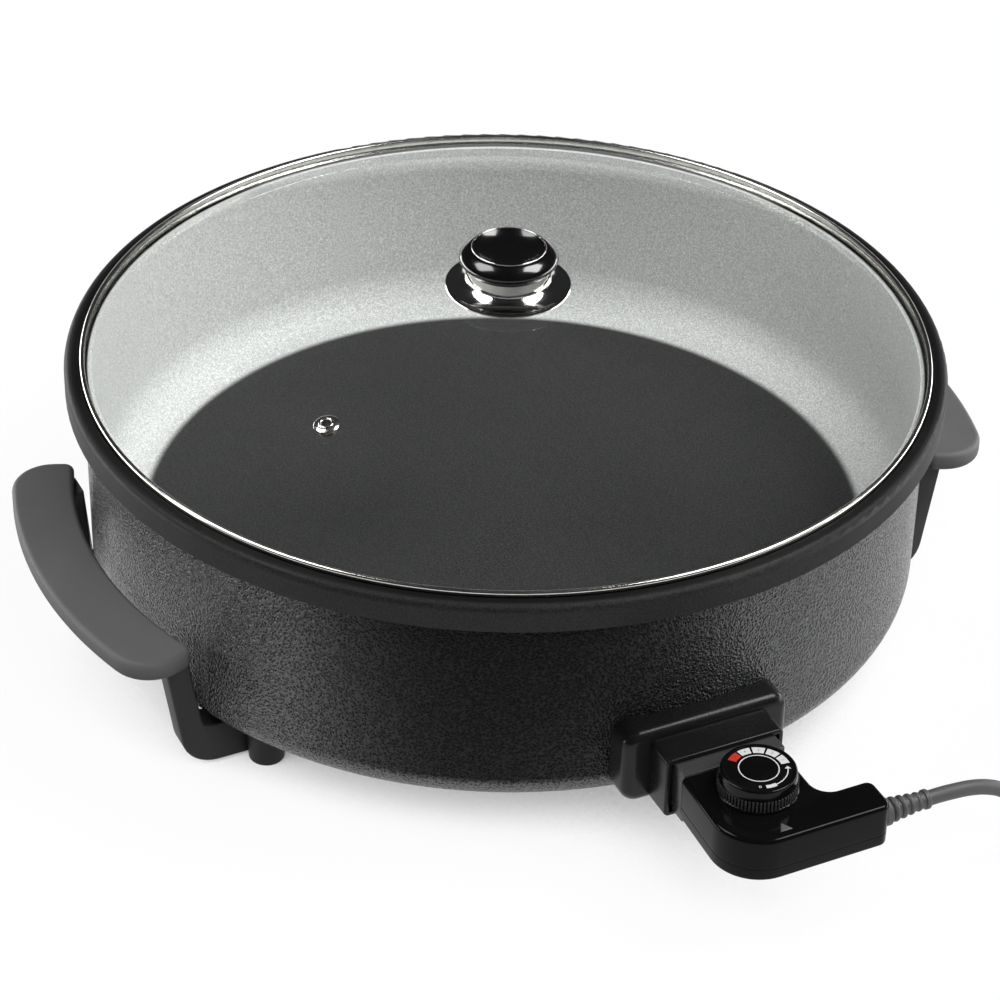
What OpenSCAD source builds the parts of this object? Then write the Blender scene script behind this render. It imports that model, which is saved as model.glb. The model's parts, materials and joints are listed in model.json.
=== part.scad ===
// Electric pizza pan: a double-walled round pan with a lift-off glass lid, foot handles,
// a plug-in thermostat controller and a mains lead.
// Millimetres, +Z up. The origin is on the pan's axis at table height, the controller is on the -Y side.

/* [Pan] */
// Inner diameter of the cooking space
bore_d = 394; // [340:1:440]
// Depth of the cooking space below the rim
pan_depth = 94.5; // [70:0.5:120]
// Wall of the cast pan
pan_wall = 2.5; // [2:0.1:3.5]
// Inner corner radius between wall and floor
pan_corner_r = 20; // [14:0.5:24]
// Height of the rolled rim
rim_h = 13; // [9:0.5:18]
// How far the rim stands out beyond the outer shell
rim_over = 8.5; // [6:0.5:12]
// Thickness of the rim's skirt
rim_skirt = 2.5; // [2:0.1:3.5]
// Radius on the rim's outer top edge
rim_edge_r = 3.5; // [1.5:0.1:5]
// Width of the ledge that the lid sits on
ledge_w = 6; // [5:0.25:8]
// Depth of that ledge below the rim
ledge_depth = 3; // [2:0.25:4]

/* [Shell] */
// Height of the shell's underside above the table
foot_h = 23; // [18:0.5:30]
// Space between the shell's floor and the pan's underside
base_space = 19.2; // [17:0.2:26]
// Air gap between the pan's wall and the shell
shell_gap = 1.2; // [0.6:0.1:3]
// Sheet thickness of the shell
shell_wall = 0.8; // [0.6:0.1:1.4]
// Outer radius of the shell's bottom corner
shell_corner_r = 15; // [8:0.5:20]

/* [Heater] */
// Diameter of the tubular heating element
element_d = 7; // [6:0.1:8]
// Radius of the element's ring
element_ring_r = 120; // [95:1:140]
// Radius of the element's bends towards its ends
element_bend_r = 20; // [14:1:26]
// Number of clips that hold the element
clip_count = 4; // [2:1:6]
// Length of a clip across the element
clip_l = 22; // [18:0.5:28]
// Width of a clip along the element
clip_w = 10; // [6:0.5:14]
// Sheet thickness of a clip
clip_t = 1; // [0.6:0.1:1.5]
// Radius of the heat shield
shield_r = 165; // [150:1:170]
// Sheet thickness of the heat shield
shield_t = 0.8; // [0.5:0.1:1.2]
// Height of the heat shield above the shell's floor
shield_lift = 6; // [4.5:0.1:7]
// Radius of the circle of spacer posts
post_ring_r = 75; // [60:1:85]
// Radius of a spacer post's foot
post_r = 6; // [5:0.1:8]
// Radius of the post above the heat shield
post_neck_r = 4; // [3.2:0.1:4.5]
// Shank radius of the post screws
post_screw_r = 2.2; // [1.5:0.1:2.6]

/* [Handles] */
// Height of the grip's underside above the table
grip_z = 64; // [55:0.5:75]
// Thickness of the grip
grip_t = 10; // [8:0.5:14]
// Radial width of the grip
grip_w = 29.5; // [26:0.5:34]
// How far the grip's inner edge lies under the rim's edge
grip_tuck = 1.2; // [0:0.1:3]
// Half the length of the grip, along its arc
grip_half_l = 89; // [84:1:105]
// Corner radius at the grip's outer corners
grip_corner_out = 20; // [8:0.5:20]
// Corner radius at the grip's inner corners
grip_corner_in = 5; // [3:0.5:8]
// Radius on the grip's top edges
grip_edge_top = 2.5; // [1:0.25:3.5]
// Radius on the grip's bottom edges
grip_edge_low = 3; // [1:0.25:4.5]
// Distance of a leg's outer face from the handle's middle
leg_y = 76; // [70:0.5:80]
// Thickness of a leg
leg_t = 14; // [10:0.5:18]
// Width of a leg, seen from the side
leg_w = 11.5; // [9:0.5:15]
// Gap between the shell's wall and a leg
leg_gap = 0.8; // [0.5:0.1:3]
// Outward lean of the legs in degrees
leg_lean = 8.5; // [4:0.5:12]
// Height of the foot bar above the table
bar_z = 1.5; // [1:0.5:5]
// Outer corner radius between leg and foot bar
bar_corner_out = 17; // [10:0.5:20]
// Inner corner radius between leg and foot bar
bar_corner_in = 6; // [3:0.5:8]
// Distance of a peg foot inside the flat of the shell's bottom
peg_inset = 9; // [8:0.5:14]
// Distance of a peg foot's middle beyond the leg's outer face
peg_out = 4; // [2:0.5:6]
// Radius of a peg foot at the table
peg_r = 8.4; // [7:0.1:10]
// Radius of a peg foot at the shell
peg_top_r = 9.6; // [8:0.1:11]
// Depth of the screw well in a peg foot
peg_well = 9; // [6:0.5:12]
// Shank radius of the handle screws
handle_screw_r = 2; // [1.5:0.1:2.5]

/* [Lid] */
// Thickness of the glass
glass_t = 3.6; // [3:0.1:5]
// Rise of the glass dome above the lid's band
dome_rise = 32; // [20:1:45]
// Radial width of the lid's band
band_w = 6; // [5:0.25:8]
// Sheet thickness of the lid's band
band_skin = 0.9; // [0.6:0.1:1.2]
// Distance of the steam vent from the lid's middle
vent_ring_r = 130; // [80:1:160]
// Direction of the steam vent in degrees
vent_angle = 206; // [0:1:359]
// Outer radius of the steam vent's flange
vent_r = 6; // [5:0.25:8]
// Radius of the steam vent's hole
vent_hole_r = 2.15; // [1.5:0.05:2.6]
// Outer radius of the knob's skirt
skirt_r = 30; // [26:0.5:36]
// Radius of the skirt's collar
collar_r = 20.5; // [17:0.5:22]
// Height of the skirt's collar above the glass
collar_h = 10.5; // [8:0.5:14]
// Sheet thickness of the skirt
skirt_t = 0.8; // [0.6:0.1:1.2]
// Largest radius of the knob
knob_r = 23.5; // [22:0.5:28]
// Height of the knob above the collar
knob_h = 10; // [9:0.5:16]
// Radius of the dish in the knob's top
dish_r = 16.8; // [12:0.2:18]
// Depth of the dish
dish_depth = 3; // [1.5:0.1:4]
// Shank radius of the knob screw
knob_screw_r = 2; // [1.5:0.1:2.4]

/* [Socket] */
// Width of the socket's flange
flange_w = 82; // [78:0.5:96]
// Thickness of the flange at the shell's wall
flange_t = 11.5; // [9:0.5:14]
// Edge of the flange above the shroud
flange_over = 4.4; // [3:0.1:8]
// Edge of the flange below the shroud
flange_under = 2.5; // [2:0.1:5]
// Corner radius of the flange
flange_corner_r = 8; // [3:0.5:10]
// Radius on the flange's front edge
flange_edge_r = 5; // [2:0.5:7]
// How far the shroud stands out of the flange
shroud_t = 16; // [12:0.5:22]
// Wall of the shroud
shroud_wall = 2.3; // [1.8:0.1:3.5]
// Thickness of the socket's back wall
socket_back = 4.5; // [3.5:0.1:6]
// Radius of the contact pins
pin_r = 2.5; // [2:0.1:3]
// Sideways distance of the contact pins from the middle
pin_x = 16; // [13:0.25:17.5]
// Height of the contact pins above the probe
pin_lift = 7.6; // [7:0.1:9]
// Height of the earth pin above the probe
earth_lift = 8.6; // [8.2:0.1:9.5]
// Length of the contact pins in front of the back wall
pin_l = 16; // [12:0.5:18]
// Sideways distance of the socket screws from the middle
socket_screw_x = 34; // [33:0.25:36]
// Height of the socket screws above the probe
socket_screw_lift = 4.6; // [3:0.1:5]

/* [Controller] */
// Radius of the temperature probe
probe_r = 3; // [2.4:0.1:3.2]
// Length of the probe in front of the nose
probe_l = 96; // [60:1:110]
// Wall of the probe's guide tube
guide_wall = 0.4; // [0.3:0.05:0.6]
// Width of the nose that fills the socket
nose_w = 50; // [48:0.5:56]
// Height of the nose
nose_h = 26; // [24:0.5:32]
// Plastic below the probe in the nose
nose_below = 3.5; // [3.4:0.1:5]
// Gap between shroud and case where the nose shows
nose_show = 8.5; // [3:0.5:12]
// Wall of the contact sleeves
sleeve_wall = 0.8; // [0.5:0.1:1]
// Height of the case
case_h = 22; // [20:0.5:30]
// Height of the case's seam above its underside
seam_h = 6.5; // [5:0.25:8]
// Wall of the case
case_wall = 2; // [1.5:0.1:2.5]
// Reach of the case to the left of the dial, at the nose
case_left = 27; // [25.5:0.5:32]
// Extra reach to the left at the front
case_flare = 2; // [0:0.5:8]
// Reach of the case to the right of the dial
case_right = 23; // [22.5:0.5:28]
// Length of the case in front of the nose
case_l = 54.5; // [52:0.5:64]
// Reach of the arm to the right of the dial
arm_reach = 48.5; // [44:0.5:60]
// Width of the arm
arm_w = 19.5; // [16:0.5:21]
// Setback of the arm's front corner
arm_setback = 0.5; // [0:0.5:5]
// Radius of the case's large front corner
case_corner_r = 22; // [10:0.5:24]
// Radius of the hollow between block and arm
arm_hollow_r = 9; // [5:0.5:12]
// Radius on the case's top edge
case_edge_top = 2.2; // [1:0.1:3]
// Radius on the case's bottom edge
case_edge_low = 1.5; // [0.5:0.1:3]
// Distance of the dial's axis in front of the nose
dial_back = 20; // [18.5:0.1:24]
// Radius of the dial's top
dial_r = 16.8; // [12:0.1:17.5]
// Radius of the dial's knurled skirt
dial_skirt_r = 18.2; // [17.8:0.1:18.4]
// Height of the dial's knurled skirt
dial_skirt_h = 5; // [3:0.25:6]
// Height of the dial
dial_h = 11; // [9:0.5:14]
// Radius of the dial's spindle
spindle_r = 3; // [2:0.1:3.5]
// Side length of the triangular pilot lens
lens_side = 6; // [4:0.25:7]

/* [Mains lead] */
// Diameter of the lead
cord_d = 7; // [6:0.1:7.2]
// Length of the strain relief outside the case
relief_l = 24; // [20:0.5:40]
// Radius of the strain relief at the case
relief_r = 6.4; // [5.5:0.1:7]
// Radius of the strain relief at its tip
relief_tip_r = 4.6; // [4.2:0.1:5]
// Ribs on the strain relief
relief_ribs = 4; // [2:1:6]
// Loops in one layer of the coil
coil_turns = 1.875; // [0.875:1:2.875]
// Step from loop to loop and from layer to layer
coil_pitch = 7.5; // [7.5:0.1:9]
// Radius of the coil's outer loop
coil_r = 45.5; // [44:0.5:52]
// Height of the coil's lower layer
coil_z = 4.2; // [4.2:0.1:5]
// Thickness of the tie round the coil
tie_t = 0.6; // [0.3:0.1:0.7]
// Width of the tie
tie_w = 6; // [4:0.5:10]
// Radius of the plug's body
plug_r = 18.5; // [17:0.5:20]
// Length of the plug's body
plug_l = 24; // [20:0.5:34]
// Length of the plug's strain relief
plug_neck_l = 22; // [20:0.5:40]
// Radius of the plug's pins
plug_pin_r = 2.4; // [2:0.1:2.5]
// Length of the plug's pins
plug_pin_l = 19; // [17:0.5:20]
// Distance between the plug's pins
plug_pitch = 19; // [15:0.5:20]

/* [Hidden] */
$fn = 96;
// Clearance between pieces that stay together
fit = 0.1;
// Clearance between pieces that slide past each other
slide = 0.4;
// Running clearance of the dial's spindle
run = 0.06;
// Clearance of the probe and the contact pins in their sleeves
sleeve_gap = 0.25;
// Clearance between the tip of a screw and the end of its hole
tip_room = 1;
// Overshoot of a cutter past the face that it cuts
cut = 1;
// Sides of a large smooth circle
big = 240;
// Points on a rounded corner, and layers on a rounded edge
arc_n = 6;
edge_n = 3;
// Points along a long edge of a grip
grip_n = 20;

// Heights from the table up
shell_floor = foot_h + shell_wall;
pan_under = shell_floor + base_space;
floor_z = pan_under + pan_wall;
pan_h = floor_z + pan_depth;
ledge_z = pan_h - ledge_depth;
rim_under = ledge_z - pan_wall;

// Radii from the middle out
bore_r = bore_d / 2;
pan_r = bore_r + pan_wall;
shell_in_r = pan_r + shell_gap;
shell_r = shell_in_r + shell_wall;
rim_r = shell_r + rim_over;
shell_flat_r = shell_r - shell_corner_r;

// Heater and probe
element_r = element_d / 2;
element_z = pan_under - element_r - fit;
guide_in_r = probe_r + sleeve_gap;
guide_r = guide_in_r + guide_wall;
probe_z = pan_under - guide_r - fit;
shield_z = shell_floor + shield_lift;
post_angles = [90, 210, 330];
post_head_r = 2 * post_screw_r;
post_head_h = 2.5;
screw_bite = 5;

// Socket, from the shell's wall outwards
wall_seat = shell_r + fit;
flange_front = shell_r + flange_t;
shroud_front = flange_front + shroud_t;
recess_y = wall_seat + socket_back;
nose_z = probe_z - nose_below;
nose_side_room = 1.9;
shroud_in_w = nose_w + 2 * nose_side_room;
shroud_w = shroud_in_w + 2 * shroud_wall;
shroud_in_z = nose_z - slide;
shroud_in_h = nose_h + 2 * slide;
shroud_z = shroud_in_z - shroud_wall;
shroud_h = shroud_in_h + 2 * shroud_wall;
flange_z = shroud_z - flange_under;
flange_h = shroud_h + flange_under + flange_over;
pin_z = probe_z + pin_lift;
earth_z = probe_z + earth_lift;
boss_wall = 3.5;
boss_r = pin_r + boss_wall;
boss_proud = 0.6;
boss_in_y = wall_at(pin_x, shell_in_r) - boss_proud;
bore_from = pan_r - 20;
nut_t = 2.2;
nut_wall = 1.7;
nut_r = pin_r + nut_wall;
strap_t = 0.8;
strap_out_y = boss_in_y - nut_t;
strap_in_y = strap_out_y - strap_t;
strap_w = 2 * nut_r;
socket_screw_r = 1.6;
socket_screw_z = probe_z + socket_screw_lift;
socket_head_r = 3;
socket_head_h = 2;
socket_screw_end = flange_front - 4;

// Controller
nose_tip = recess_y + 1.5 * slide;
case_back = shroud_front + nose_show;
case_front = case_back + case_l;
dial_y = case_back + dial_back;
case_lift = 0.7;
case_z = probe_z + case_lift;
seam_z = case_z + seam_h;
case_top_z = case_z + case_h;
nose_tail_l = 5;
nose_tail_x = case_right - case_wall - slide;
nose_tail_lip = 0.8;
nose_tail_z0 = case_z + case_wall + nose_tail_lip;
nose_tail_z1 = case_top_z - case_wall - nose_tail_lip;
sleeve_in_r = pin_r + sleeve_gap;
sleeve_r = sleeve_in_r + sleeve_wall;
sleeve_room = 4;
sleeve_l = pin_l + sleeve_room;
probe_root = 17.5;
arm_y = case_front - arm_setback - arm_w / 2;
relief_z = case_z + case_h / 2 - 1;
case_path = [
    [-case_left, -case_back],
    [-case_left - case_flare, -case_front],
    [arm_reach, -case_front + arm_setback],
    [arm_reach, -case_front + arm_setback + arm_w],
    [case_right, -case_front + arm_setback + arm_w],
    [case_right, -case_back]
];
case_radii = [2.5, case_corner_r, 5, 4, arm_hollow_r, 2.5];
screw_spots = [
    [-case_left + 4.5, -case_back - nose_tail_l - 6],
    [-case_left + 6.5, -case_front + 13],
    [arm_reach - 18, -case_front + arm_setback + 4]
];
case_boss_r = 3.3;
case_screw_r = 1.4;
case_head_r = 2.6;
case_head_h = 2;
case_screw_bite = 8;
case_boss_set = 0.5;
case_floor = case_z + case_wall;
case_ceiling = case_top_z - case_wall;
frame_z = case_floor + 10;
frame_t = 1.5;
dial_z = case_top_z + slide;
spindle_low = frame_z - 1;
stack_r = 4.2;
stack_y = case_back + case_wall + nose_tail_l + stack_r + 2 * slide;
rivet_r = 1.2;
blade_t = 0.6;
lens_y = case_front - 6.5;
lens_x = -2;

// Lead: the free stretch from the strain relief down to the table, points chosen by hand
relief_x = arm_reach + relief_l;
cord_r = cord_d / 2;
cord_route = [
    [relief_x, -arm_y, relief_z], [relief_x + cord_d, -arm_y, relief_z], [86, -282, 49.8], [94, -282, 48.9],
    [102, -282, 46.8], [110, -282, 43], [118, -282, 36.8], [126, -282, 27.2], [134, -282, 17.3],
    [142, -282, 10.9], [150, -282, 7.1], [158, -282, 5.1], [166, -282, 4.3], [174, -282, 4.2],
    [182, -282, 4.2], [190, -282, 4.2], [198, -282, 4.2], [206, -282, 4.2], [214, -282, 4.2]
];
cord_sides = 10;
cord_fine = 2;
// The coil starts where the free stretch ends, and its tail ends at the plug
coil_start = cord_route[len(cord_route) - 1];
coil_x = coil_start.x;
coil_y = coil_start.y + coil_r;
coil_sides = 6;
coil_rings = 24;
tail_l = 46;
plug_x = coil_x + coil_r;
plug_y = coil_y + tail_l;
plug_z = plug_r;

// Distance from the middle plane to a round wall, at a sideways distance x
function wall_at(x, r) = sqrt(r * r - x * x);

// Plane geometry of rounded outlines, counter-clockwise
function unit(v) = v / norm(v);
function left_of(v) = [-v.y, v.x];
function inset_corner(p, q, s, d) =
    let (na = left_of(unit(q - p)), nb = left_of(unit(s - q)))
    q + d * (na + nb) / (1 + na * nb);
function turn(p, q, s) = cross(q - p, s - q);
function corner_arc(p, q, s, r, n) =
    let (a = unit(p - q), b = unit(s - q), half = acos(a * b) / 2)
    let (c = q + unit(a + b) * r / sin(half), reach = r / tan(half))
    let (u = q + a * reach - c, v = q + b * reach - c)
    let (a0 = atan2(u.y, u.x), sweep = (atan2(v.y, v.x) - a0 + 540) % 360 - 180)
    [for (i = [0:n]) c + r * [cos(a0 + sweep * i / n), sin(a0 + sweep * i / n)]];
function at(list, i) = list[(i + len(list)) % len(list)];
function round_path(path, radii, d = 0, n = arc_n) =
    let (moved = [for (i = [0:len(path) - 1])
        inset_corner(at(path, i - 1), path[i], at(path, i + 1), d)])
    [for (i = [0:len(path) - 1])
        let (outer = turn(at(path, i - 1), path[i], at(path, i + 1)) > 0)
        let (r = max(0.1, radii[i] + (outer ? -d : d)))
        each corner_arc(at(moved, i - 1), moved[i], at(moved, i + 1), r, n)];
function arc_points(c, r, a0, a1, n) =
    [for (i = [0:n]) c + r * [cos(a0 + (a1 - a0) * i / n), sin(a0 + (a1 - a0) * i / n)]];

// Inset and height of each layer of a slab with rounded bottom and top edges
function low_edge(z0, r) = r <= 0 ? [[0, z0]] :
    [for (i = [0:edge_n]) [r * (1 - sin(90 * i / edge_n)), z0 + r * (1 - cos(90 * i / edge_n))]];
function top_edge(z1, r) = r <= 0 ? [[0, z1]] :
    [for (i = [0:edge_n]) [r * (1 - cos(90 * i / edge_n)), z1 - r * (1 - sin(90 * i / edge_n))]];
function slab_layers(z0, z1, r_low, r_top) = concat(low_edge(z0, r_low), top_edge(z1, r_top));
function at_height(path, z) = [for (p = path) [p.x, p.y, z]];

// Closed skin over rings of equal length, from the first to the last. Strip caps suit a long narrow outline.
function strip_cap(m) = [for (i = [0:m / 2 - 2]) each [[i, i + 1, m - 2 - i], [i, m - 2 - i, m - 1 - i]]];
module skin(rings, strip = false) {
    m = len(rings[0]);
    top = (len(rings) - 1) * m;
    sides = [for (k = [0:len(rings) - 2]) for (i = [0:m - 1])
        let (lo = k * m + i, lo_next = k * m + (i + 1) % m)
        each [[lo, lo + m, lo_next + m], [lo, lo_next + m, lo_next]]];
    first = strip ? strip_cap(m) : [[for (i = [0:m - 1]) i]];
    last = [for (face = first) [for (i = [len(face) - 1:-1:0]) top + face[i]]];
    polyhedron([for (ring = rings) each ring], concat(sides, first, last), convexity = 6);
}

// Points of a smooth curve through the given points, and rings of a tube along them
function spline_point(p0, p1, p2, p3, t) =
    0.5 * (2 * p1 + (p2 - p0) * t + (2 * p0 - 5 * p1 + 4 * p2 - p3) * t * t
    + (3 * p1 - p0 - 3 * p2 + p3) * t * t * t);
function smooth(points, n) = let (last = len(points) - 1)
    concat([for (i = [0:last - 1]) for (k = [0:n - 1])
        spline_point(points[max(i - 1, 0)], points[i], points[i + 1], points[min(i + 2, last)], k / n)],
        [points[last]]);
function tangent(points, i) = let (last = len(points) - 1)
    unit(points[min(i + 1, last)] - points[max(i - 1, 0)]);
function tube_ring(p, t, r, n) =
    let (side = unit(cross(t, [0, 0, 1])), up = cross(side, t))
    [for (k = [0:n - 1]) p + r * (sin(360 * k / n) * side - cos(360 * k / n) * up)];
function tube_rings(points, first, last, r, n) =
    [for (i = [0:len(points) - 1])
        let (t = i == 0 ? first : i == len(points) - 1 ? last : tangent(points, i))
        tube_ring(points[i], t, r, n)];

// Half section of a straight-walled bowl with a rounded bottom corner
module bowl_section(r, z0, z1, c) {
    translate([0, z0]) square([r - c, z1 - z0]);
    translate([0, z0 + c]) square([r, z1 - z0 - c]);
    translate([r - c, z0 + c]) circle(c);
}

// Half section of a disc with a rounded top corner
module cap_section(r, z0, z1, c) {
    translate([0, z0]) square([r - c, z1 - z0]);
    translate([0, z0]) square([r, z1 - z0 - c]);
    translate([r - c, z1 - c]) circle(c);
}

// Rod along -Y from the given distance outwards
module rod_y(x, z, from, to, r) {
    translate([x, -from, z]) rotate([90, 0, 0]) cylinder(h = to - from, r = r);
}

// Hexagonal nut along -Y
module nut_y(x, z, from, to, r) {
    translate([x, -from, z]) rotate([90, 0, 0]) cylinder(h = to - from, r = r, $fn = 6);
}

// Copies at the four feet
module at_feet() {
    for (sx = [-1, 1], sy = [-1, 1]) translate([sx * peg_x, sy * peg_y, 0]) children();
}

// Copies at the spacer posts
module at_posts() {
    for (a = post_angles) rotate(a) translate([post_ring_r, 0, 0]) children();
}

// Cast pan with the rolled rim and the lid's ledge
module inner_pan() {
    color("dimgray") rotate_extrude($fn = big) difference() {
        union() {
            bowl_section(pan_r, pan_under, ledge_z, pan_corner_r + pan_wall);
            intersection() {
                cap_section(rim_r, 0, pan_h, rim_edge_r);
                union() {
                    translate([bore_r - cut, rim_under]) square([rim_r, pan_h - rim_under]);
                    translate([rim_r - rim_skirt, pan_h - rim_h]) square([rim_skirt, rim_h]);
                }
            }
        }
        bowl_section(bore_r, floor_z, pan_h + cut, pan_corner_r);
        translate([0, ledge_z]) square([bore_r + ledge_w, ledge_depth + cut]);
    }
}

// Drawn sheet shell round the pan, with holes for its fixings and the socket
module outer_shell() {
    color("#26282a") difference() {
        rotate_extrude($fn = big) difference() {
            bowl_section(shell_r, foot_h, rim_under - fit, shell_corner_r);
            bowl_section(shell_in_r, shell_floor, pan_h, shell_corner_r - shell_wall);
        }
        at_feet() translate([0, 0, foot_h - cut]) cylinder(h = shell_wall + 2 * cut, r = handle_screw_r + fit);
        at_posts() translate([0, 0, foot_h - cut]) cylinder(h = shell_wall + 2 * cut, r = post_screw_r + fit);
        for (sx = [-1, 1]) {
            rod_y(sx * pin_x, pin_z, bore_from, shell_r + cut, boss_r + slide);
            rod_y(sx * socket_screw_x, socket_screw_z, bore_from, shell_r + cut, socket_screw_r + fit);
        }
        rod_y(0, earth_z, bore_from, shell_r + cut, pin_r + fit);
        rod_y(0, probe_z, bore_from, shell_r + cut, guide_r + slide);
    }
}

// Tubular element: an open ring whose ends turn outwards to the terminals
module heating_element() {
    bend_x = pin_x + element_bend_r;
    bend_y = -wall_at(bend_x, element_ring_r + element_bend_r);
    ring_half = atan2(-bend_y, bend_x);
    color("#5c5a58") translate([0, 0, element_z]) {
        rotate(-ring_half) rotate_extrude(angle = 180 + 2 * ring_half, $fn = big)
            translate([element_ring_r, 0]) circle(element_r, $fn = 32);
        for (side = [0, 1]) mirror([side, 0, 0]) {
            translate([bend_x, bend_y, 0]) rotate(180 - ring_half)
                rotate_extrude(angle = ring_half) translate([element_bend_r, 0]) circle(element_r, $fn = 32);
            translate([pin_x, bend_y, 0]) rotate([90, 0, 0])
                cylinder(h = strap_in_y + bend_y, r = element_r, $fn = 32);
        }
    }
}

// Bent straps that hold the element up against the pan
module element_clips() {
    inside_l = element_d + 2 * fit;
    clip_z = element_z - element_r - fit - clip_t;
    color("silver") for (i = [0:clip_count - 1])
        rotate(45 + 360 / clip_count * i) translate([element_ring_r, 0, 0]) difference() {
            translate([-clip_l / 2, -clip_w / 2, clip_z]) cube([clip_l, clip_w, pan_under - fit - clip_z]);
            translate([-inside_l / 2, -clip_w, clip_z + clip_t]) cube([inside_l, 2 * clip_w, base_space]);
            for (s = [0, 1]) mirror([s, 0, 0])
                translate([inside_l / 2 + clip_t, -clip_w, clip_z - cut])
                    cube([clip_l, 2 * clip_w, pan_under - fit - clip_t - clip_z + cut]);
        }
}

// Thin disc under the element that keeps the heat off the shell's floor
module heat_shield() {
    color("gainsboro") difference() {
        translate([0, 0, shield_z]) cylinder(h = shield_t, r = shield_r, $fn = big);
        at_posts() translate([0, 0, shield_z - cut]) cylinder(h = shield_t + 2 * cut, r = post_neck_r + fit);
    }
}

// Posts between the shell's floor and the pan, stepped to carry the heat shield
module spacer_posts() {
    color("lightsteelblue") at_posts() difference() {
        union() {
            translate([0, 0, shell_floor]) cylinder(h = shield_lift, r = post_r);
            translate([0, 0, shell_floor]) cylinder(h = base_space, r = post_neck_r);
        }
        translate([0, 0, shell_floor - cut]) cylinder(h = screw_bite + tip_room + cut, r = post_screw_r + fit);
    }
}

// Screws from below into the spacer posts
module post_screws() {
    color("silver") at_posts() {
        translate([0, 0, foot_h - post_head_h]) cylinder(h = post_head_h, r = post_head_r);
        translate([0, 0, foot_h - post_head_h])
            cylinder(h = post_head_h + shell_wall + screw_bite, r = post_screw_r);
    }
}

// Closed tube under the pan's floor that the probe slides into
module probe_guide() {
    color("silver") difference() {
        rod_y(0, probe_z, nose_tip - probe_l - 2 * tip_room, recess_y - slide, guide_r);
        rod_y(0, probe_z, nose_tip - probe_l - tip_room, recess_y + cut, guide_in_r);
    }
}

// Flange on the shell's wall and the shroud that takes the controller's nose
module socket_housing() {
    half = flange_w / 2;
    flange_top = flange_z + flange_h;
    flange_path = [[-half, flange_z], [half, flange_z], [half, flange_top], [-half, flange_top]];
    flange_radii = [for (i = [0:3]) flange_corner_r];
    flange_back = wall_at(half, shell_r) - cut;
    color("#17181a") difference() {
        union() {
            rotate([90, 0, 0]) skin([for (layer = slab_layers(flange_back, flange_front, 0, flange_edge_r))
                at_height(round_path(flange_path, flange_radii, layer[0]), layer[1])]);
            translate([-shroud_w / 2, -shroud_front, shroud_z])
                cube([shroud_w, shroud_front - flange_back, shroud_h]);
        }
        difference() {
            cylinder(h = pan_h, r = wall_seat, $fn = big);
            for (sx = [-1, 1]) rod_y(sx * pin_x, pin_z, boss_in_y, shell_r + cut, boss_r);
        }
        translate([-shroud_in_w / 2, -shroud_front - cut, shroud_in_z])
            cube([shroud_in_w, shroud_front + cut - recess_y, shroud_in_h]);
        for (sx = [-1, 1]) {
            rod_y(sx * pin_x, pin_z, bore_from, recess_y + cut, pin_r + fit);
            rod_y(sx * socket_screw_x, socket_screw_z, bore_from, socket_screw_end + tip_room,
                socket_screw_r + fit);
        }
        rod_y(0, earth_z, bore_from, recess_y + cut, pin_r + fit);
        rod_y(0, probe_z, bore_from, recess_y + cut, guide_r + fit);
    }
}

// Two live pins, held in the socket's back wall
module contact_pins() {
    color("goldenrod") for (sx = [-1, 1]) rod_y(sx * pin_x, pin_z, strap_in_y, recess_y + pin_l, pin_r);
}

// Earth pin, bolted to the shell
module earth_pin() {
    color("goldenrod") rod_y(0, earth_z, shell_in_r - fit - nut_t, recess_y + pin_l + 2, pin_r);
}

// Nuts behind the three pins
module terminal_nuts() {
    color("silver") {
        for (sx = [-1, 1]) difference() {
            nut_y(sx * pin_x, pin_z, strap_out_y, boss_in_y, nut_r);
            rod_y(sx * pin_x, pin_z, strap_out_y - cut, boss_in_y + cut, pin_r + fit);
        }
        difference() {
            nut_y(0, earth_z, shell_in_r - fit - nut_t, shell_in_r - fit, nut_r);
            rod_y(0, earth_z, shell_in_r - nut_t - cut, shell_in_r + cut, pin_r + fit);
        }
    }
}

// Straps from the live pins down to the element's ends
module terminal_straps() {
    low = element_z - element_r;
    color("goldenrod") for (sx = [-1, 1]) difference() {
        translate([sx * pin_x - strap_w / 2, -strap_out_y, low])
            cube([strap_w, strap_t, pin_z + nut_r - low]);
        rod_y(sx * pin_x, pin_z, strap_in_y - cut, strap_out_y + cut, pin_r + fit);
    }
}

// Screws from inside the shell into the socket's flange
module socket_screws() {
    head_y = wall_at(socket_screw_x + socket_head_r, shell_in_r) - fit;
    color("silver") for (sx = [-1, 1]) {
        rod_y(sx * socket_screw_x, socket_screw_z, head_y - socket_head_h, head_y, socket_head_r);
        rod_y(sx * socket_screw_x, socket_screw_z, head_y - socket_head_h, socket_screw_end, socket_screw_r);
    }
}

// Places of the legs and peg feet
peg_y = leg_y + peg_out;
peg_x = wall_at(peg_y, shell_flat_r - peg_inset);
leg_x = wall_at(leg_y, shell_r) + leg_gap;
grip_r = rim_r - grip_tuck;
grip_mid_r = grip_r + grip_w / 2;
handle_head_r = 2 * handle_screw_r;
handle_head_h = 3;
handle_nut_t = 3;
handle_screw_z = peg_well - handle_head_h;

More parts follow.
